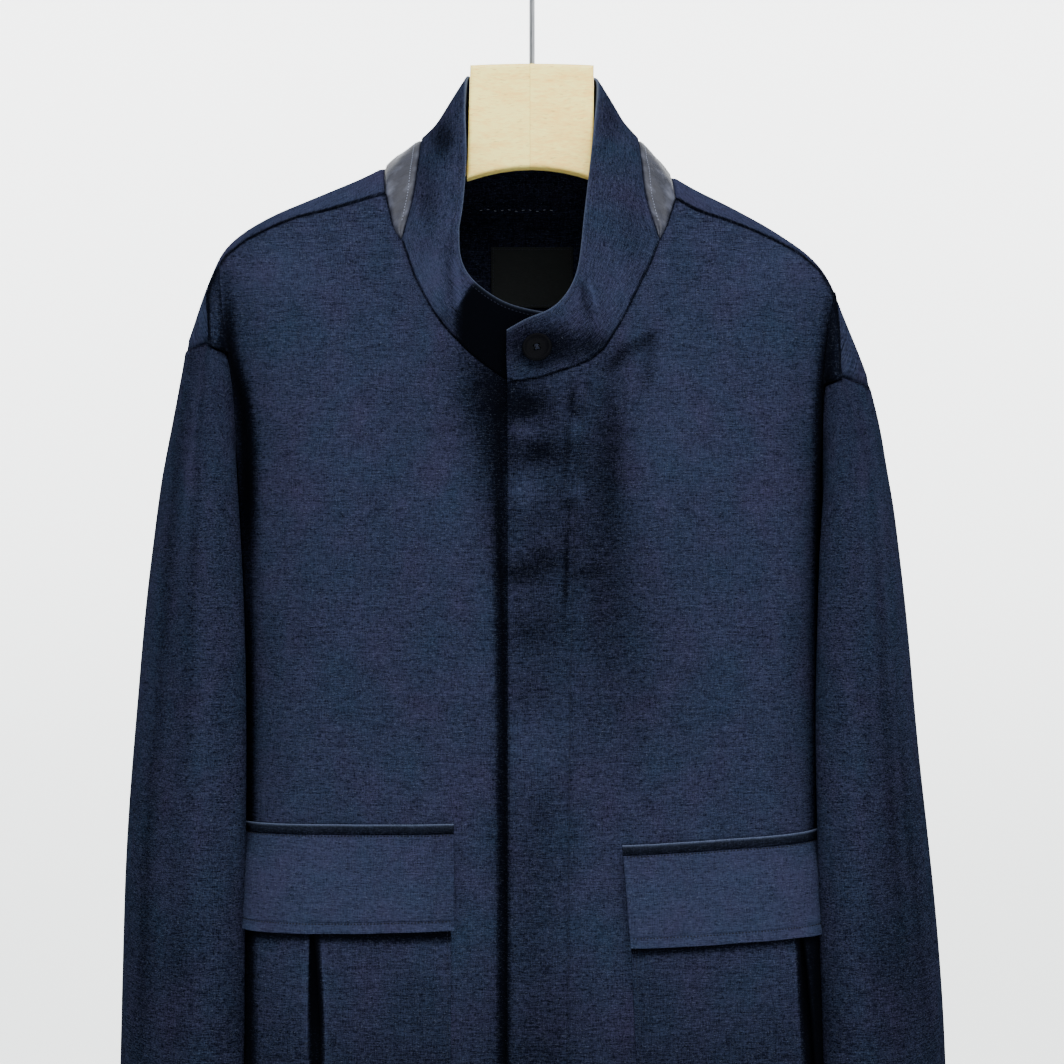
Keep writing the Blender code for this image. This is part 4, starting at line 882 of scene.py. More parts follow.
# One row of stitches laid into the face of a piece, along points close to it
def stitches(name, target, path, finish, pitch=0.0024, length=0.0017, radius=0.00024, rise=0.00006,
             out=(0, 0, 0)):
    tree = BVHTree.FromPolygons([v.co.copy() for v in target.data.vertices],
                                [tuple(p.vertices) for p in target.data.polygons])
    vertices, faces = [], []
    for line in path:
        line = np.asarray(line, float)
        places = lengthsOf(line)
        count = int(places[-1] / pitch)
        for k in range(count):
            ends = []
            for shift in (-0.5, 0, 0.5):
                at = (k + 0.5) * places[-1] / count + shift * length
                spot = Vector([np.interp(at, places, line[:, c]) + out[c] for c in range(3)])
                place, normal, _, _ = tree.find_nearest(spot)
                ends.append((place, normal))
            middle, normal = ends[1]
            direction = (ends[2][0] - ends[0][0]).normalized()
            side = direction.cross(normal).normalized()
            base = len(vertices)
            vertices.append(ends[0][0] - normal * radius * 0.8)
            for shift in (-0.28, 0.28):
                for j in range(5):
                    turn = 2 * math.pi * j / 5
                    vertices.append(middle + direction * length * shift + normal
                                    * (rise + math.cos(turn) * radius)
                                    + side * math.sin(turn) * radius)
            vertices.append(ends[2][0] - normal * radius * 0.8)
            for j in range(5):
                n = (j + 1) % 5
                faces.append((base, base + 1 + n, base + 1 + j))
                faces.append((base + 1 + j, base + 1 + n, base + 6 + n, base + 6 + j))
                faces.append((base + 11, base + 6 + j, base + 6 + n))
    mesh = newMesh(name, vertices, faces)
    mesh.shade_smooth()
    mesh.materials.append(finish)
    made = newObject(name, mesh)
    dress(made)
    return made


# the fronts and the back

fine = (0.0, 0.0003, 0.0008, 0.0017)     # steps of a rounded edge, in metres
bodyRows = 150
sewn = {"half": 0.00058, "folded": 0.0005, "hem": 0.025, "cuff": 0.03, "lift": 0.0006, "pitch": 0.003}


def past(first, last, count):
    return list(np.linspace(first, last, count + 1)[1:])


def outerParts(span):
    ends = [1 - step / span for step in (0.0008, 0.002)]
    return past(atGusset, atTip, 32) + past(atTip, atDropEnd, 8) + past(atDropEnd, 1, 12) + ends


def frontParts(side):
    start = frontStart[side]
    line = [start + step / frontSpan for step in fine]
    extra = []
    if side == left:
        extra = [start + (placket["width"] + step) / frontSpan
                 for step in (-0.0022, -0.0012, -0.0005, 0.0004, 0.0012, 0.0022)]
    first = [v for v in np.linspace(start, atApex, 34)[1:] if v > line[-1] + 0.004
             and all(abs(v - e) > 0.004 for e in extra)]
    return np.array(sorted(line + first + extra + past(atApex, atGusset, 5) + outerParts(frontSpan)))


def backParts():
    return np.array(sorted([0.0] + past(0, atBackApex, 24) + past(atBackApex, atGusset, 6)
                           + outerParts(backSpan)))


def bodyDrops(top, crowding):
    share = np.linspace(0, 1, bodyRows + 1)[1:-1, None]
    main = top + (hemDrop - top) * share ** crowding
    head = np.stack([top + step for step in (0.0, 0.0008, 0.0020)])
    hem = np.stack([0 * top + hemDrop - step for step in fine[::-1]])
    stitch = np.stack([0 * top + hemDrop - sewn["hem"] - step for step in (0.0008, 0.0, -0.0008)])
    return np.sort(np.concatenate([head, main, hem, stitch]), axis=0)


def hemThickness(points):
    drop = neckLevel - points[:, 2]
    return sewn["half"] + sewn["folded"] * ease((drop - hemDrop + sewn["hem"] + 0.001) / 0.002)


def endPatch(side, isBack, outer, inner):
    count = len(inner)
    along = np.linspace(0, 1, count)[:, None]
    across = np.array([0, 0.06, 0.16, 0.28, 0.42, 0.56, 0.7, 0.84, 1.0])[None, :]
    spot = placed(side, dropSurface(side, isBack, along, across))
    if outer is not None:
        spot[:, 0] = outer
    spot[:, -1] = inner
    spot[0, :] = inner[0]
    flat = np.stack(np.broadcast_arrays(0.19 + across * 0.02, -0.08 - along * 0.06), -1)
    return spot, flat


def makeFront(side, name, node):
    parts = frontParts(side)
    top = topOf(side, parts, False)[:, 2]
    drops = bodyDrops(top, 1.05)
    spots, _ = bodySurface(side, parts, drops, False)
    flat = np.stack([np.broadcast_to(parts * frontSpan, drops.shape), -drops], -1)
    tips = np.where((parts > atTip - 1e-9) & (parts < atDropEnd + 1e-9))[0]
    patch = endPatch(side, False, None, spots[0, tips])
    made = cloth(name, [(spots, flat, "start bottom"), (*patch, "")], linen, frontThickness(side),
                 (0, 0, -0.5),
                 shade=lambda points: frontShade(points, side), insidePaintedShade=linenPaintedShadeInside)
    dress(made, node)
    return made


def frontThickness(side):
    def half(points):
        thick = hemThickness(points)
        edge = side * frontStart[side] * frontSpan
        if side == left:
            inside = points[:, 0] - edge
            thick = np.maximum(thick, sewn["half"] + sewn["folded"]
                               * ease((placket["width"] - inside) / 0.001))
        return thick
    return half


def makeBack():
    line = backParts()
    grids, rows = [], []
    for side in (left, right):
        top = topOf(side, line, True)[:, 2]
        drops = bodyDrops(top, 1.28 - 0.22 * ease((line - 0.8) / 0.1))
        spots, _ = bodySurface(side, line, drops, True)
        flat = np.stack([np.broadcast_to(side * line * backSpan, drops.shape), -drops], -1)
        grids.append((spots, flat, "bottom"))
        over = np.where((line > atGusset - 1e-9) & (line < atDropEnd + 1e-9))[0]
        t = np.array([0, 0.022, 0.055, 0.13, 0.22, 0.32, 0.42, 0.52, 0.62, 0.72, 0.82, 0.91, 1.0])[:, None,
                                                                                                   None]
        part = line[over]
        shoulder = (part - atGusset) / (atTip - atGusset)
        drop = (part - atTip) / (atDropEnd - atTip)
        isDrop = (part > atTip)[:, None]
        shoulder, drop = np.clip(shoulder, 0, 1), np.clip(drop, 0, 1)
        seam = np.where(isDrop, onSeam(side, "drop", drop), onSeam(side, "shoulder", shoulder))
        ridge = np.where(isDrop, onSeam(side, "ridgeDrop", drop), onSeam(side, "ridge", shoulder))
        cap = placed(side, arch(seam, ridge, t))
        tips = part > atTip - 1e-9
        cap[-1, ~tips] = spots[0, over[~tips]]
        first = np.where(tips)[0][0]
        cap[-1, first] = spots[0, over[first]]
        length = np.linalg.norm(np.diff(cap, axis=0), axis=-1).sum(axis=0)
        capFlat = np.stack([np.broadcast_to(side * part * backSpan, cap.shape[:2]),
                            -ridge[:, 2] + length * (1 - t[:, :, 0])], -1)
        grids.append((cap, capFlat, ""))
        patch = endPatch(side, True, cap[-1, tips], spots[0, over[tips]])
        grids.append((*patch, ""))
        rows.append(spots)
    # the two halves share their centre line
    grids[3] = (np.concatenate([rows[0][:, :1], rows[1][:, 1:]], axis=1), grids[3][1], "bottom")
    for k in (2, 3, 4):        # these run the other way round
        spots, flat, edges = grids[k]
        grids[k] = (spots[:, ::-1], flat[:, ::-1], edges)

    def nearRidge(points):
        height = np.abs(points[:, 1] - 0.006)
        upper = ease((points[:, 2] - (neckLevel - 0.19)) / 0.03)
        return np.clip(1 - height / 0.03, 0, 1) * upper * (np.abs(points[:, 0]) > 0.1)
    made = cloth("backPanel", grids, linen, hemThickness, (0, -0.02, -0.5), smooth=(nearRidge, 8),
                 shade=backShade,
                 insidePaintedShade=linenPaintedShadeInside)
    dress(made, "back")
    return made


frontRight = makeFront(right, "frontRightPanel", "front_right")
frontLeft = makeFront(left, "frontLeftPanel", "front_left")
backPanel = makeBack()
print("body made")

# sleeves

sleeveRound = 0.40       # the sheet's way round, in metres
sleeveCreases = {      # centimetres round from the outer side, and down
    right: [((6, 17), (7, 30), (6.4, 52), 12, 1.5), ((9.6, 16), (10.5, 28), (11, 47), 9, -1.3), ((13, 20),
        (13.4, 36), (12.6, 56), 9, 1.4), ((3, 24), (2.4, 42), (3.6, 60), 13, -1.2), ((5, 49), (4.4, 55),
        (5.4, 62), 4, -0.7), ((9, 33), (11.5, 36.5), (14, 38), 5, 0.6), ((8.5, 14.6), (8.9, 16.2), (8.6, 19),
        5, 0.8), ((5.5, 14.4), (5.9, 16), (6.4, 19.5), 5, 0.7), ((28, 20), (29, 36), (28.5, 55), 12, 1.4),
        ((33, 24), (34, 42), (33, 62), 12, -1.2)],
    left: [((6, 19), (6.8, 33), (6, 50), 12, 1.4), ((9.8, 18.5), (11, 30), (10.6, 50), 9, -1.3), ((13, 22),
        (13.6, 38), (13.2, 60), 9, 1.4), ((2.6, 22), (2, 40), (3, 58), 13, -1.2), ((6, 40), (9, 43),
        (12.5, 44), 5, 0.6), ((8.4, 17.5), (8.8, 19), (8.2, 22), 5, 0.9), ((5.2, 17), (5.6, 19), (5.2, 23), 6,
        0.8), ((27.5, 22), (28.6, 38), (28, 58), 12, 1.3), ((33, 22), (33.6, 42), (33.4, 60), 12, -1.2)],
}


sleeveShades = {
    right: [(9.2, 22, 0.7, 8, 0.20), (12, 45, 1.2, 24, 0.10), (5.5, 30, 1.6, 14, -0.16),
        (10.6, 30, 0.5, 12, -0.12), (4.5, 55, 1.2, 12, -0.14), (8, 50, 1.5, 12, 0.06)],
    left: [(10, 28, 0.8, 10, 0.12), (6, 24, 1.4, 8, 0.12), (8, 46, 1.2, 16, -0.14), (12.4, 50, 0.9, 20, 0.08),
        (4, 50, 1.4, 14, -0.12)],
}


def sleeveSection(side, angle, drop):
    outer, inner, middle, halfDepth, lean = np.moveaxis(between(sleeves[side], drop), -1, 0)
    half = (outer - inner) / 2
    flat = np.sqrt(half ** 2 - lean ** 2)
    turn = np.radians(angle)
    across = np.copysign(np.abs(np.cos(turn)) ** 0.85, np.cos(turn))
    along = np.copysign(np.abs(np.sin(turn)) ** 0.85, np.sin(turn))
    return np.stack([(outer + inner) / 2 + flat * across - lean * along, middle - halfDepth * along], -1)


def armholeRing(side):
    starts, angles = [], []

    def add(spots, first, last, shift, share):
        starts.append(spots + np.array([[1.0, 0, 0]]) * (seamStep * shift)[:, None])
        angles.append(first + (last - first) * share)

    t = np.linspace(0, 1, 11)[:-1]
    seam, ridge = onSeam(side, "drop", 1.0), onSeam(side, "ridgeDrop", 1.0)
    add(arch(seam, ridge, (1 - t)[:, None]), 0, seamAngle, 0 * t, t)
    add(dropSurface(side, False, 1.0, t), seamAngle, valleyAngle, t, t)
    t = np.linspace(0, 1, 27)[:-1]
    add(onArmhole(side, t, False), valleyAngle, underarmAngle, 1 + 0 * t, t)
    add(onArmhole(side, 1 - t, True), underarmAngle, backValleyAngle, 1 + 0 * t, t)
    t = np.linspace(0, 1, 13)[:-1]
    add(dropSurface(side, True, 1.0, 1 - t), backValleyAngle, 360, 1 - t, t)
    return np.concatenate(starts), np.concatenate(angles)


def makeSleeve(side, name, node):
    starts, angles = armholeRing(side)
    starts = np.concatenate([starts, starts[:1]])
    angles = np.concatenate([angles, [360.0]])
    start = starts[:, 2]
    share = np.linspace(0, 1, 141)[1:-1, None] ** 1.12
    rows = np.concatenate([np.stack([start, start + 0.0008, start + 0.0020]),
                           start + (sleeveDrop - start) * share,
                           np.stack([0 * start + sleeveDrop - step for step in fine]),
                           np.stack([0 * start + sleeveDrop - sewn["cuff"] - step
                                     for step in (0.0008, 0, -0.0008)])])
    drops = np.sort(rows, axis=0)
    here = sleeveSection(side, angles, drops)
    there = sleeveSection(side, angles, start + 0 * drops)
    keep = np.exp(-np.maximum(drops - start, 0) / 0.04)[..., None]
    spot = here + (starts[None, :, :2] - there) * keep
    beside = bodyReach(spot[..., 1], drops) + np.where(spot[..., 1] > 0, valleySpread(side, drops, True),
                                                       valleySpread(side, drops, False))
    clear = seamStep + (sleeveClear - seamStep) * ease((drops - start) / 0.03)
    gap = spot[..., 0] - beside - clear
    spot[..., 0] = beside + clear + 0.5 * (gap + np.sqrt(gap ** 2 + 0.002 ** 2
                                                         * ease((drops - start) / 0.04)))
    spots = placed(side, np.concatenate([spot, drops[..., None]], -1))
    centre = np.stack([side * 0.245 + 0 * drops, 0 * drops, neckLevel - drops], -1)
    normal = gridNormals(spots, centre)
    places = np.stack([angles / 360 * sleeveRound + 0 * drops, drops], -1)
    height = foldsAt(places, [(path, width, depth) for *path, width, depth in sleeveCreases[side]])
    height += 0.0002 * np.sin(places[..., 0] * 95 + side) * np.sin(drops * 43 + places[..., 0] * 20)
    height -= 0.0005 * hump(drops - sleeveDrop + sewn["cuff"], 0.0012)
    height += 0.0010 * hump(drops - start - 0.007, 0.006) * hump(angles - 90, 70)
    height *= ease((drops - start) / 0.006)
    height[:, -1] = height[:, 0]
    normal[:, -1] = normal[:, 0] = unit(normal[:, 0] + normal[:, -1])
    spots = spots + normal * height[..., None]
    spots[:, -1] = spots[:, 0]
    flat = np.stack([angles / 360 * sleeveRound + 0 * drops, -drops], -1)

    def half(points):
        drop = neckLevel - points[:, 2]
        return sewn["half"] + sewn["folded"] * ease((drop - sleeveDrop + sewn["cuff"] + 0.001) / 0.002)

    many = np.linspace(0, len(starts) - 1, 1600)
    seamPoints = placed(side, np.stack([np.interp(many, np.arange(len(starts)), starts[:, c])
                                        for c in range(3)], -1))
    seamTree = treeOf(seamPoints)

    def sleeveShade(points):
        out, y, drop = side * points[:, 0], points[:, 1], neckLevel - points[:, 2]
        section = between(sleeves[side], drop)
        across = (out - (section[:, 0] + section[:, 1]) / 2) / ((section[:, 0] - section[:, 1]) / 2)
        turned = np.degrees(np.arctan2(section[:, 2] - y, across * section[:, 3])) % 360
        aroundPlace = turned / 360 * sleeveRound * 100
        seam = np.array([seamTree.find(point)[2] for point in points])
        total = -0.10 * ease((drop - 0.40) / 0.25) - 0.75 * hump(seam, 0.0014)
        for middle, down, wide, tall, amount in sleeveShades[side]:
            total += amount * np.exp(-((aroundPlace - middle) / wide) ** 2
                                     - ((drop * 100 - down) / tall) ** 2)
        return total

    def nearTop(points):
        drop = neckLevel - points[:, 2] - start.min()
        return ease(drop / 0.01) * (1 - ease((drop - 0.05) / 0.05))
    made = cloth(name, [(spots, flat, "bottom")], linenPaintedShadeSleeve, half, (side * 0.245, 0, -0.6),
                 smooth=(nearTop, 14),
                 shade=sleeveShade, insidePaintedShade=linenPaintedShadeInside)
    dress(made, node)
    return made, spots


sleeveRight, sleeveRightSpots = makeSleeve(right, "sleeveRight", "sleeve_right")
sleeveLeft, sleeveLeftSpots = makeSleeve(left, "sleeveLeft", "sleeve_left")
print("sleeves made")

# collar and gussets

collarLook = {"half": 0.00125, "roll": 0.003, "lip": 0.0006, "rows": 20}
collarFolds = [      # soft folds of the stand: centimetres out and down
    (((-5.7, 6.3), (-5.4, 9), (-5.2, 11.8)), 4, 1.6), (((3.7, 8.4), (4.1, 10.2), (4.5, 12.2)), 3, 1.6),
    (((-7, 2), (-7.4, 6), (-7, 9.6)), 7, -1.5), (((6.6, 2.5), (6.2, 6), (6.4, 9.5)), 7, 1.2), (((5.4, 6),
    (5.2, 9), (5.7, 12.2)), 5, -1.3), (((-1, 14.7), (2, 14.6), (5, 12.8)), 4, -0.8), (((-6.2, -3.5),
    (-5.9, 0.5), (-6.3, 3)), 6, 1), (((5.6, -3), (5.9, 0), (6, 2.4)), 6, -0.8), (((2.6, 11.8), (4.2, 13),
    (6, 13.4)), 4, 0.7),
]


collarShades = [(-7.6, 3.5, 0.8, 4, -0.25), (-6.4, -1.9, 0.8, 1.4, -0.45), (-7, 8.6, 1.3, 2.6, 0.30),
    (-8, 5, 0.7, 2.4, 0.14), (7, 6, 0.8, 3, -0.12), (5.6, -3.5, 0.7, 1.8, -0.2), (0.9, 13.6, 2.9, 1.4, -0.72),
    (6.2, 9, 1.2, 2.2, 0.14), (4.6, 13.6, 1.4, 1, -0.3), (-6.2, 12.4, 1, 1.4, -0.30)]
collarShadows = [(((-5.5, 6.4), (-5.3, 9), (-5.1, 12)), 2.2, 0.35), (((3.95, 8.6), (4.3, 10), (4.7, 11.4)), 1,
    0.6), (((-6, 5.2), (-5.9, 8.2), (-5.6, 11)), 4, -0.22), (((3.4, 8.6), (3.7, 10.2), (4.1, 12)), 2.6,
    -0.25)]


def collarLines(side):
    n = {"front": 56, "side": 34, "back": 22}
    low, high = [], []
    for below, above, count in (("neckline", "topFront", n["front"]), ("gussetInner", "topSide", n["side"]),
                                ("backNeckline", "topBack", n["back"])):
        t = np.linspace(0, 1, count + 1)
        if below == "neckline":
            t = np.sort(np.concatenate([t, np.array(fine[1:]) / 0.15]))
        t = t if below == "backNeckline" else t[:-1]
        low.append(onSeam(side, below, t))
        high.append(onSeam(side, above, t))
    return placed(side, np.concatenate(low)), placed(side, np.concatenate(high))


# The end that lies under the other one is in its shadow
def collarShade(points, underTree):
    x, drop = points[:, 0] * 100, (neckLevel - points[:, 2]) * 100
    isUnder = np.array([underTree.find(point)[1] for point in points]) == 0
    first = 10.4 - 1.5 * ease((x + 5.3) / 1.3)
    below = ease((x + 5.7) / 1.0) * isUnder * ease((drop - first) / 0.6)
    total = shadeOf(points, collarShades, collarShadows) * ease((0.02 - points[:, 1]) / 0.02) - 1.15 * below
    for name, width, amount in (("neckline", 0.8, -0.5), ("gussetInner", 0.8, -0.5)):
        total += seamLine(points, name, width, amount) * (points[:, 1] < 0.01)
    return total


def makeCollar():
    lowRight, highRight = collarLines(right)
    lowLeft, highLeft = collarLines(left)
    low = np.concatenate([lowRight, lowLeft[::-1][1:]])
    high = np.concatenate([highRight, highLeft[::-1][1:]])
    height = np.linalg.norm(high - low, axis=1).mean()
    t = np.linspace(0, 1, collarLook["rows"] + 1)
    t = np.sort(np.concatenate([t, np.array((0.0003, 0.0008, 0.0015, 0.0024)) / height,
                                1 - np.array((0.0008, 0.002)) / height]))[:, None, None]
    spots = high + (low - high) * t
    away = unit(spots * np.array([1, 1, 0]))
    spots = spots + away * (collarLook["roll"] * np.sin(math.pi * t))
    normal = gridNormals(spots, (0, 0, -0.26))
    places = onSheet(spots)
    lift = foldsAt(places, collarFolds)
    lift *= (spots[..., 1] < 0.03) * ease(t[..., 0] / 0.12 + 0.25) * ease((1 - t[..., 0]) / 0.15)
    spots = spots + normal * lift[..., None]
    length = lengthsOf(low)
    flat = np.stack([np.broadcast_to(length, spots.shape[:2]),
                     np.broadcast_to(-t[..., 0] * height, spots.shape[:2])], -1)
    isUpper = (np.arange(spots.shape[1]) >= len(lowRight)).astype(int)
    underTree = treeOf(spots.reshape(-1, 3), np.tile(isUpper, len(spots)))
    made = cloth("standCollar", [(spots, flat, "top start end")], linen, collarLook["half"], (0, 0, -0.26),
                 seam=(0.0011, 0.0012), lip=collarLook["lip"], rubbedAndHighlit="top",
                 shade=lambda points: collarShade(points, underTree), insidePaintedShade=linenPaintedShadeInside)
    dress(made, "collar")
    return made, spots


standCollar, collarSpots = makeCollar()
print("collar made")


def makeGusset(side, name, node):
    t = np.linspace(0, 1, 37)
    inner = onSeam(side, "gussetInner", t)
    first = onSeam(side, "gussetFront", np.linspace(0, 1, 13)[:-1])
    middle = arch(onSeam(side, "shoulder", 0.0), onSeam(side, "ridge", 0.0), np.linspace(0, 1, 13)[:-1, None])
    last = onSeam(side, "gussetBack", np.linspace(0, 1, 13))
    outer = np.concatenate([first, middle, last])
    across = np.array([0, 0.05, 0.12, 0.22, 0.36, 0.5, 0.64, 0.78, 0.88, 0.95, 1.0])[None, :, None]
    spots = placed(side, inner[:, None] + (outer - inner)[:, None] * across)
    spots[0] = spots[0, 0]
    spots[-1] = spots[-1, 0]
    width = np.linalg.norm(outer - inner, axis=1)[:, None]
    normal = gridNormals(spots, (0, 0, -0.35))
    lift = 0.10 * width * np.sin(math.pi * across[..., 0]) * 0.35
    lift = lift + 0.0005 * np.sin(across[..., 0] * 9 + t[:, None] * 31) * np.sin(math.pi * across[..., 0])
    normal[0], normal[-1] = 0, 0
    spots = spots + normal * lift[..., None]
    flat = np.stack([width * across[..., 0], np.broadcast_to(t[:, None] * 0.16, spots.shape[:2])], -1)
    made = cloth(name, [(spots, flat, "")], leather, 0.0006, (side * 0.06, 0, -0.30), seam=(0.0006, 0.0009))
    dress(made, node)
    stitch = stitches(name + "Stitch", made, [spots[3:30, 2]], paleThread, pitch=0.0026, length=0.0018,
                      out=(side * 0.002, 0, 0.002))
    return made


gussetRight = makeGusset(right, "gussetRight", "gusset_right")
gussetLeft = makeGusset(left, "gussetLeft", "gusset_left")
print("gussets made")

# pockets and flaps, lying on the creased fronts. Drops and sizes in metres

pockets = {
    right: {"inner": 0.0555, "width": 0.200, "flapTop": 0.471, "flapDrop": 0.075, "tilt": 0.016,
            "bottom": 0.695,
            "pleat": 0.0995, "open": (0.0010, 0.0100), "lean": -0.006, "askew": (0.0, 0.0), "shade": 0.35,
            "shadeFrom": 0.186},
    left: {"inner": 0.0640, "width": 0.200, "flapTop": 0.486, "flapDrop": 0.070, "tilt": -0.045,
           "bottom": 0.708,
           "pleat": 0.121, "open": (0.0030, 0.0085), "lean": 0.014, "askew": (0.0020, 0.0080), "shade": 0.9,
           "shadeFrom": 0.180},
}
stitchDips = (-0.0012, -0.0005, 0.0, 0.0005, 0.0012)


def around(values, spots, step=0.0016):
    return sorted(list(values) + [v for v in spots if all(abs(v - w) > step for w in values)])


# Painted shade on a flap under its top stitch row, near its inner end on the right and where the sleeve
# shades it, with a painted lighter band just above its lower edge
def flapShade(side, points):
    look = pockets[side]
    drop = neckLevel - points[:, 2]
    inside = side * points[:, 0] - look["inner"]
    down = drop - look["flapTop"] - look["tilt"] * inside
    total = -0.62 * ease((down - 0.0002) / 0.0010) * ease((0.0082 - down) / 0.0016)
    total += 0.14 * hump(down - look["flapDrop"] + 0.004, 0.0028)
    if side == right:
        total -= 0.22 * ease((0.03 - inside) / 0.03) * 0.4
    return total - look["shade"] * ease((inside - look["shadeFrom"]) / 0.014)


def makeFlap(side, name, node):
    look = pockets[side]
    width, drop = look["width"] + 0.004, look["flapDrop"]
    inset, below = 0.0072, 0.0075
    fixed = list(fine) + [width - step for step in fine] + [inset + s for s in stitchDips]
    u = np.array(around(fixed, np.linspace(0, width, 62)))[None, :]
    fixed = list(fine) + [drop - step for step in fine]
    fixed += [below + s for s in stitchDips] + [drop - below + s for s in stitchDips]
    v = np.array(around(fixed, np.linspace(0, drop, 28)))[:, None]
    share = v / drop
    x = look["inner"] - 0.002 + u
    down = look["flapTop"] + look["tilt"] * u + v
    if side == right:
        down = down - 0.0085 * ease((u - 0.145) / 0.06) * share
    else:      # this flap hangs a little askew
        down = down + 0.0078 * share * (u / width) ** 1.4
        x = x + 0.0062 * share * (1 - u / width)
    down = down + 0.0012 * np.sin(u * 22 + side) * share
    lift = 0.0018 + 0.0052 * ease((share - 0.06) / 0.36) + 0.0022 * share ** 3 + 0 * u
    lift = lift - 0.0012 * hump(v - below, 0.0014)
    lift = lift - 0.0011 * hump(v - drop + below, 0.0013)
    lift = lift + 0.0011 * np.sin(u * 31 + 1.2 * side) * ease((share - 0.2) / 0.6)
    lift = lift + 0.0005 * np.sin(u * 74 + 3 * share) * ease((share - 0.2) / 0.4)
    spots, _ = bodySurface(side, x / frontSpan, down, False, lift)
    flat = np.stack([x + 0 * down, -down], -1) + 0.37
    made = cloth(name, [(spots, flat, "top bottom start end")], linenPaintedLightFlap, 0.00105, (0, 0.5, -0.7),
                 rubbedAndHighlit="top",
                 shade=lambda points: flapShade(side, points), insidePaintedShade=linenPaintedShadeInside)
    at = [int(np.argmin(np.abs(v - w))) for w in (below, drop - below)]
    lines = [spots[row, 3:-3] for row in at]
    stitch = stitches(name + "Stitch", made, lines, darkThread, radius=0.00036, length=0.0015, rise=0.00015,
                      out=(0, -0.003, 0))
    dress(made, node)
    return made


# Out past the pleat's edge and back under it
foldSteps = ((-0.0002, 0.0), (0.0003, -0.0005), (0.0003, -0.0014), (-0.0006, -0.0028), (-0.0030, -0.0040))


def makePocket(side, name, node):
    look = pockets[side]
    width = look["width"]
    top = look["flapTop"] + 0.018
    drop = look["bottom"] - top
    fixed = list(fine) + [drop - step for step in fine] + [drop - 0.002 + s * 0.6 for s in stitchDips]
    v = np.array(around(fixed, np.linspace(0, drop, 60)))[:, None]
    share = v / drop
    middle = look["pleat"] + look["lean"] * share

    def opening(share):
        first, wide = look["open"]
        return first + (wide - first) * ease(share * 1.5) * (1 - ease((share - 0.66) / 0.34)) + 0.0002

    gap = opening(share)
    edgeDips = [0.0021 + s * 0.6 for s in stitchDips]
    leftReach, rightReach = 0.1, 0.085
    near = around(list(fine) + edgeDips, np.linspace(0, 1, 27)[:-1] * leftReach)
    before = [w / leftReach for w in near if w < leftReach]
    far = around(list(fine) + edgeDips, np.linspace(0, 1, 25)[:-1] * rightReach)
    after = [1 - w / rightReach for w in far if w < rightReach][::-1]
    # columns: left panel, fold under, underlay, fold back, right panel
    columns, lifts = [], []
    one, two = middle - gap / 2, middle + gap / 2
    puff = 0.0013 * ease(v / 0.03) * ease((drop - v) / 0.05)

    def panelLift(edge, fold, reach):
        return (0.0013 + 0.0010 * ease(edge / 0.08) + (0.0027 + puff) * ease(fold / 0.5)
                - 0.0004 * hump(edge * reach - 0.0021, 0.0010) + 0 * v)

    for w in before:
        columns.append(one * w)
        lifts.append(panelLift(w, w - 0.45, leftReach))
    for shift, rise in foldSteps:
        columns.append(one + shift)
        lifts.append(0.0050 + puff + rise)
    for w in np.linspace(0, 1, 7):
        columns.append(one - 0.0030 + (gap + 0.0060) * w)
        lifts.append(0.0006 + 0 * v)
    for shift, rise in reversed(foldSteps):
        columns.append(two - shift)
        lifts.append(0.0050 + puff + rise)
    for w in after:
        columns.append(two + (width - two) * w)
        lifts.append(panelLift(1 - w, 0.6 - w, rightReach))
    u = np.concatenate([c + 0 * v for c in columns], axis=1)
    lift = np.concatenate([c + 0 * v for c in lifts], axis=1)
    lift = lift * (0.3 + 0.7 * ease((v - 0.012) / 0.03))
    askew = look["askew"][0] + look["askew"][1] * share
    x = look["inner"] + u + askew * (1 - u / width)
    down = top + v + 0.25 * look["tilt"] * u * (1 - share)
    spots, _ = bodySurface(side, x / frontSpan, down, False, lift)
    flat = np.stack([x, -down], -1) + 0.91

    # painted shade in the pleat's slit, under the flap and on the left beyond the pleat, with a painted
    # highlight along the slit's edges
    def pocketShade(points):
        drop = neckLevel - points[:, 2]
        inside = side * points[:, 0] - look["inner"]
        place = (drop - top) / (look["bottom"] - top)
        middle = look["pleat"] + look["lean"] * place
        middle = middle + (look["askew"][0] + look["askew"][1] * place) * (1 - middle / width)
        slit = np.abs(inside - middle)
        deep = 1 - ease((slit - opening(place) / 2 + 0.0004) / 0.0012)
        below = 1 - ease((drop - look["flapTop"] - look["flapDrop"] - look["tilt"] * inside - 0.001) / 0.009)
        edge = np.exp(-((slit - opening(place) / 2 - 0.0016) / 0.0010) ** 2) * ease(place * 2)
        total = frontShade(points, side) - 1.1 * deep * (1 - 0.35 * ease((drop - 0.60) / 0.03))
        total = total - 0.9 * below + 0.12 * edge
        return total - (0.75 * ease((inside - middle) / 0.003) if side == left else 0.0)
    made = cloth(name, [(spots, flat, "top bottom start end")], linen, 0.0005, (0, 0.5, -0.7),
                 shade=pocketShade)
    lines = [spots[:, 6], spots[:, -7], spots[-7, 3:-3]]
    stitch = stitches(name + "Stitch", made, lines, thread, out=(0, -0.002, 0))
    dress(made, node)
    return made


for side, word, tail in ((right, "Right", "right"), (left, "Left", "left")):
    makePocket(side, "pocket" + word, "pocket_" + tail)
    makeFlap(side, "flap" + word, "flap_" + tail)
print("pockets made")

# sewing on the large panels

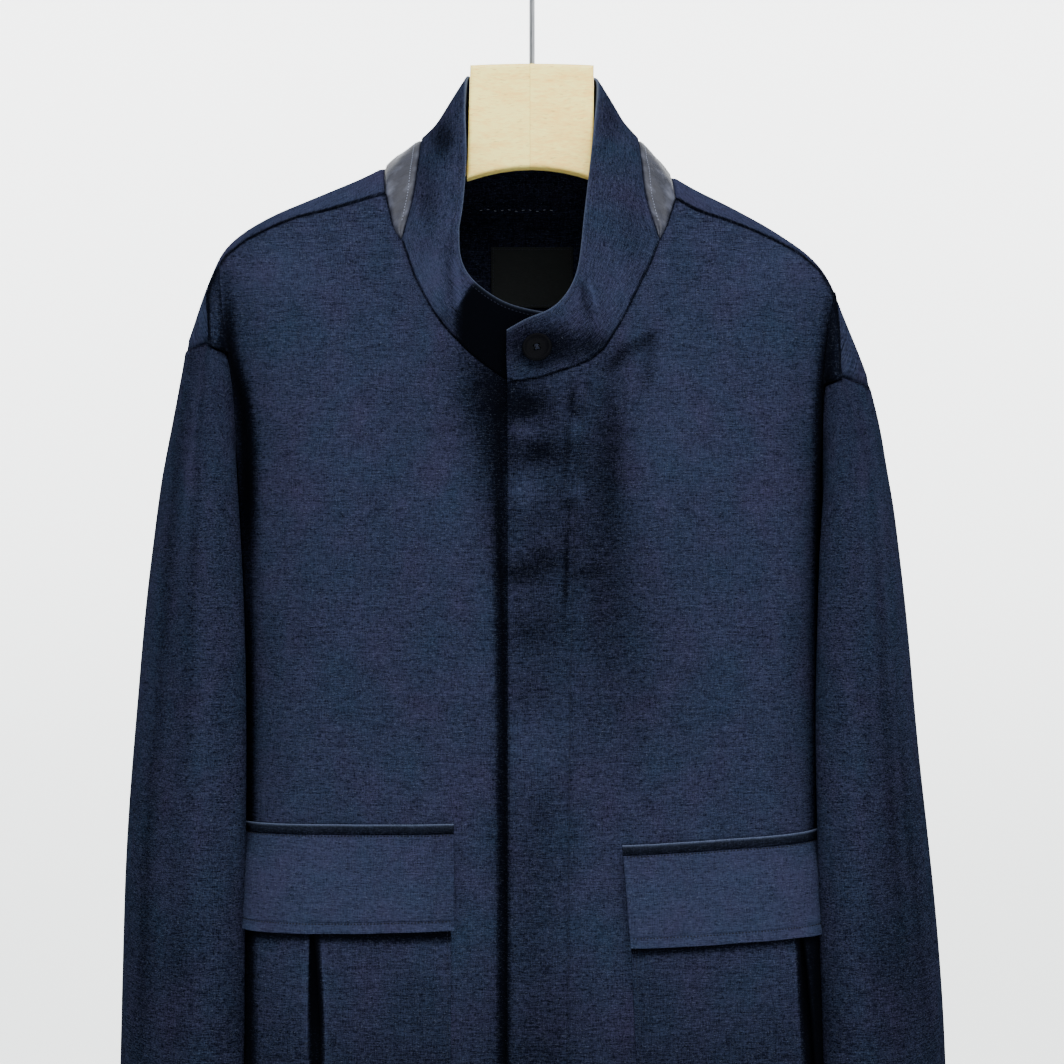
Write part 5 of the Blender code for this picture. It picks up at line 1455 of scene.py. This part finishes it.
placketLine, _ = bodySurface(left, frontStart[left] + placket["width"] / frontSpan,
                             np.linspace(0.158, 0.70, 240), False, sewn["lift"])
frontLeftStitch = stitches("frontLeftStitch", frontLeft, [placketLine], thread)
hemLines = {}
for side in (right, left):
    parts = np.linspace(frontStart[side] + 0.01, 0.99, 90)
    hemLines[side], _ = bodySurface(side, parts, hemDrop - sewn["hem"], False, sewn["lift"])
frontLeftHem = stitches("frontLeftHem", frontLeft, [hemLines[left]], thread, pitch=sewn["pitch"])
frontRightHem = stitches("frontRightHem", frontRight, [hemLines[right]], thread, pitch=sewn["pitch"])
backLines = [bodySurface(side, np.linspace(0.0, 0.99, 90), hemDrop - sewn["hem"], True, sewn["lift"])[0]
             for side in (right, left)]
backHem = stitches("backHem", backPanel, backLines, thread, pitch=sewn["pitch"])
for piece, spots, name in ((sleeveRight, sleeveRightSpots, "sleeveRightHem"),
                           (sleeveLeft, sleeveLeftSpots, "sleeveLeftHem")):
    row = int(np.argmin(np.abs(neckLevel - spots[:, 0, 2] - (sleeveDrop - sewn["cuff"]))))
    line = spots[row] + unit(spots[row] - spots[row].mean(axis=0)) * 0.002
    stitches(name, piece, [line], thread, pitch=sewn["pitch"])
collarLine = collarSpots[4] + (collarSpots[4] - collarSpots[0]) * 0.6
collarLine = collarLine + unit(collarLine * np.array([1, 1, 0])) * 0.002
collarStitch = stitches("collarStitch", standCollar, [collarLine], thread, pitch=0.0028)

# the pale thread of this row inside the dark neck stands in for painted highlights on its stitches
neckRow = np.linspace(-0.043, 0.018, 40)
neckRow = np.stack([bodyPoint(right if v < 0 else left, abs(v) / backSpan,
                              0.0248 + 0.0006 * math.sin(v * 400), True)
                    for v in neckRow]) - np.array([0, 0.003, 0])
neckStitch = stitches("neckStitch", backPanel, [neckRow], paleThread, pitch=0.0052, length=0.0024)
bar = np.array([(0.0218, -0.1010, neckLevel - 0.1285), (0.0226, -0.1010, neckLevel - 0.1310)])
barStitch = stitches("buttonholeBar", standCollar, [bar + np.array([0.0003 * k, 0, 0]) for k in range(3)],
                     thread,
                     pitch=0.0024, length=0.0022, radius=0.0003)
print("sewing made")

# button, label and hanger

buttonLook = {"radius": 0.0105, "thick": 0.0032, "place": (0.0035, -0.1010, neckLevel - 0.1375), "tilt": 68,
              "turn": -17, "hole": 0.0011, "spread": 0.0021}


def turnedMesh(profile, sides):
    vertices, faces = [], []
    for k in range(sides):
        turn = 2 * math.pi * k / sides
        vertices += [(r * math.cos(turn), r * math.sin(turn), z) for r, z in profile]
    n = len(profile)
    for k in range(sides):
        m = (k + 1) % sides
        faces += [(k * n + j, m * n + j, m * n + j + 1, k * n + j + 1) for j in range(n - 1)]
    faces.append(tuple(k * n for k in reversed(range(sides))))
    faces.append(tuple(k * n + n - 1 for k in range(sides)))
    return vertices, faces


def makeButton():
    r, h = buttonLook["radius"], buttonLook["thick"] / 2
    profile = [(r * 0.75, -h), (r * 0.93, -h * 0.8), (r, -h * 0.3), (r, h * 0.25), (r * 0.97, h * 0.72),
               (r * 0.91, h),
               (r * 0.83, h * 0.97), (r * 0.77, h * 0.62), (r * 0.70, h * 0.34), (r * 0.55, h * 0.26),
               (r * 0.3, h * 0.24)]
    vertices, faces = turnedMesh(profile, 64)
    made = newObject("collarButton", newMesh("collarButton", vertices, faces))
    cutters = []
    for k in range(4):
        turn = math.radians(45 + 90 * k)
        away = (buttonLook["spread"] * math.cos(turn), buttonLook["spread"] * math.sin(turn))
        sides, caps = turnedMesh([(buttonLook["hole"], -h * 3), (buttonLook["hole"], h * 3)], 20)
        cutter = newObject("hole", newMesh("hole", [(x + away[0], y + away[1], z) for x, y, z in sides],
                                           caps))
        cut = made.modifiers.new("hole", "BOOLEAN")
        cut.object = cutter
        cut.solver = "EXACT"
        cutters.append(cutter)
    bpy.context.view_layer.update()
    solid = bpy.data.meshes.new_from_object(made.evaluated_get(bpy.context.evaluated_depsgraph_get()))
    made.modifiers.clear()
    made.data = solid
    for cutter in cutters:
        bpy.data.objects.remove(cutter)
    made.data.shade_smooth()
    made.data.set_sharp_from_angle(angle=math.radians(40))
    turn = (Matrix.Translation(buttonLook["place"]) @ Matrix.Rotation(math.radians(buttonLook["turn"]), 4,
                                                                      "Y")
            @ Matrix.Rotation(math.radians(buttonLook["tilt"]), 4, "X"))
    made.data.transform(turn)
    made.data.materials.append(horn)
    dress(made, "collar_button")
    # thread crossing between the four holes
    vertices, faces = [], []
    for first, last in ((45, 225), (135, 315), (45, 135), (225, 315)):
        ends = [Vector((math.cos(math.radians(a)), math.sin(math.radians(a)), 0)) * buttonLook["spread"]
                for a in (first, last)]
        side = (ends[1] - ends[0]).normalized().cross(Vector((0, 0, 1)))
        for shift in (-0.00022, 0.00022):
            line = []
            for k in range(7):
                t = k / 6
                rise = h * 0.3 + 0.0005 * math.sin(math.pi * t) - 0.0006 * (t in (0, 1))
                line.append(ends[0].lerp(ends[1], t) + side * shift + Vector((0, 0, rise)))
            base = len(vertices)
            for k, spot in enumerate(line):
                ahead = (line[min(k + 1, 6)] - line[max(k - 1, 0)]).normalized()
                flank = ahead.cross(Vector((0, 0, 1))).normalized()
                up = flank.cross(ahead)
                for j in range(6):
                    vertices.append(spot + (flank * math.cos(j * math.pi / 3) + up
                                            * math.sin(j * math.pi / 3)) * 0.00024)
            faces += [(base + 6 * k + j, base + 6 * k + (j + 1) % 6, base + 6 * k + 6 + (j + 1) % 6,
                       base + 6 * k + 6 + j)
                      for k in range(6) for j in range(6)]
            faces += [tuple(base + j for j in reversed(range(6))), tuple(base + 36 + j for j in range(6))]
    mesh = newMesh("buttonThread", vertices, faces)
    mesh.shade_smooth()
    mesh.transform(turn)
    mesh.materials.append(thread)
    dress(newObject("buttonThread", mesh))


makeButton()

labelLook = {"half": 0.031, "drops": (0.052, 0.097), "border": 0.0022}


def makeLabel():
    x = np.array(around(list(-labelLook["half"] + np.array(fine)) + list(labelLook["half"] - np.array(fine)),
                        np.linspace(-labelLook["half"], labelLook["half"], 25)))
    first, last = labelLook["drops"]
    drop = np.array(around(list(first + np.array(fine)) + list(last - np.array(fine)),
                           np.linspace(first, last, 19)))
    spots = []
    for d in drop:
        side = np.where(x > 0, left, right)
        row = np.array([bodyPoint(s, abs(v) / 0.255, d, True) for s, v in zip(side, x)])
        spots.append(np.stack([x, row[:, 1] - 0.0022, neckLevel - d + 0 * x], -1))
    spots = np.array(spots)
    flat = np.stack([spots[..., 0], spots[..., 2]], -1)
    made = cloth("neckLabel", [(spots, flat, "top bottom start end")], labelCloth, 0.0004, (0, 0.3, -0.27))
    b = labelLook["border"]
    half = labelLook["half"]
    lines = [spots[:, np.argmin(np.abs(x + half - b))], spots[:, np.argmin(np.abs(x - half + b))],
             spots[np.argmin(np.abs(drop - first - b))], spots[np.argmin(np.abs(drop - last + b))]]
    stitch = stitches("labelStitch", made, [line - np.array([0, 0.001, 0]) for line in lines], thread)
    dress(made, "neck_label")


makeLabel()

for node, finish in (("hanger_neck_block", wood), ("hanger_arm_left", wood), ("hanger_arm_right", wood),
                     ("hanger_hook", steel)):
    for slot in bpy.data.objects[node].material_slots:
        slot.material = finish
print("hanger dressed")


stage = {"floor": -1.42, "near": -4.5, "far": 2.7, "cove": 0.9, "top": 4.5, "half": 7.0}


# A floor that runs up into the wall in one round cove
def makeStage():
    far, floor, cove = stage["far"], stage["floor"], stage["cove"]
    profile = [(stage["near"], floor), (far, floor)]
    for turn in np.linspace(0, math.pi / 2, 17)[1:]:
        profile.append((far + cove * math.sin(turn), floor + cove * (1 - math.cos(turn))))
    profile.append((far + cove, stage["top"]))
    vertices = [(x, y, z) for y, z in profile for x in (-stage["half"], stage["half"])]
    faces = [(2 * k, 2 * k + 1, 2 * k + 3, 2 * k + 2) for k in range(len(profile) - 1)]
    mesh = newMesh("floor", vertices, faces)
    mesh.shade_smooth()
    mesh.materials.append(makeWall("wallGlow"))
    newObject("floor", mesh)


makeStage()

print("done")
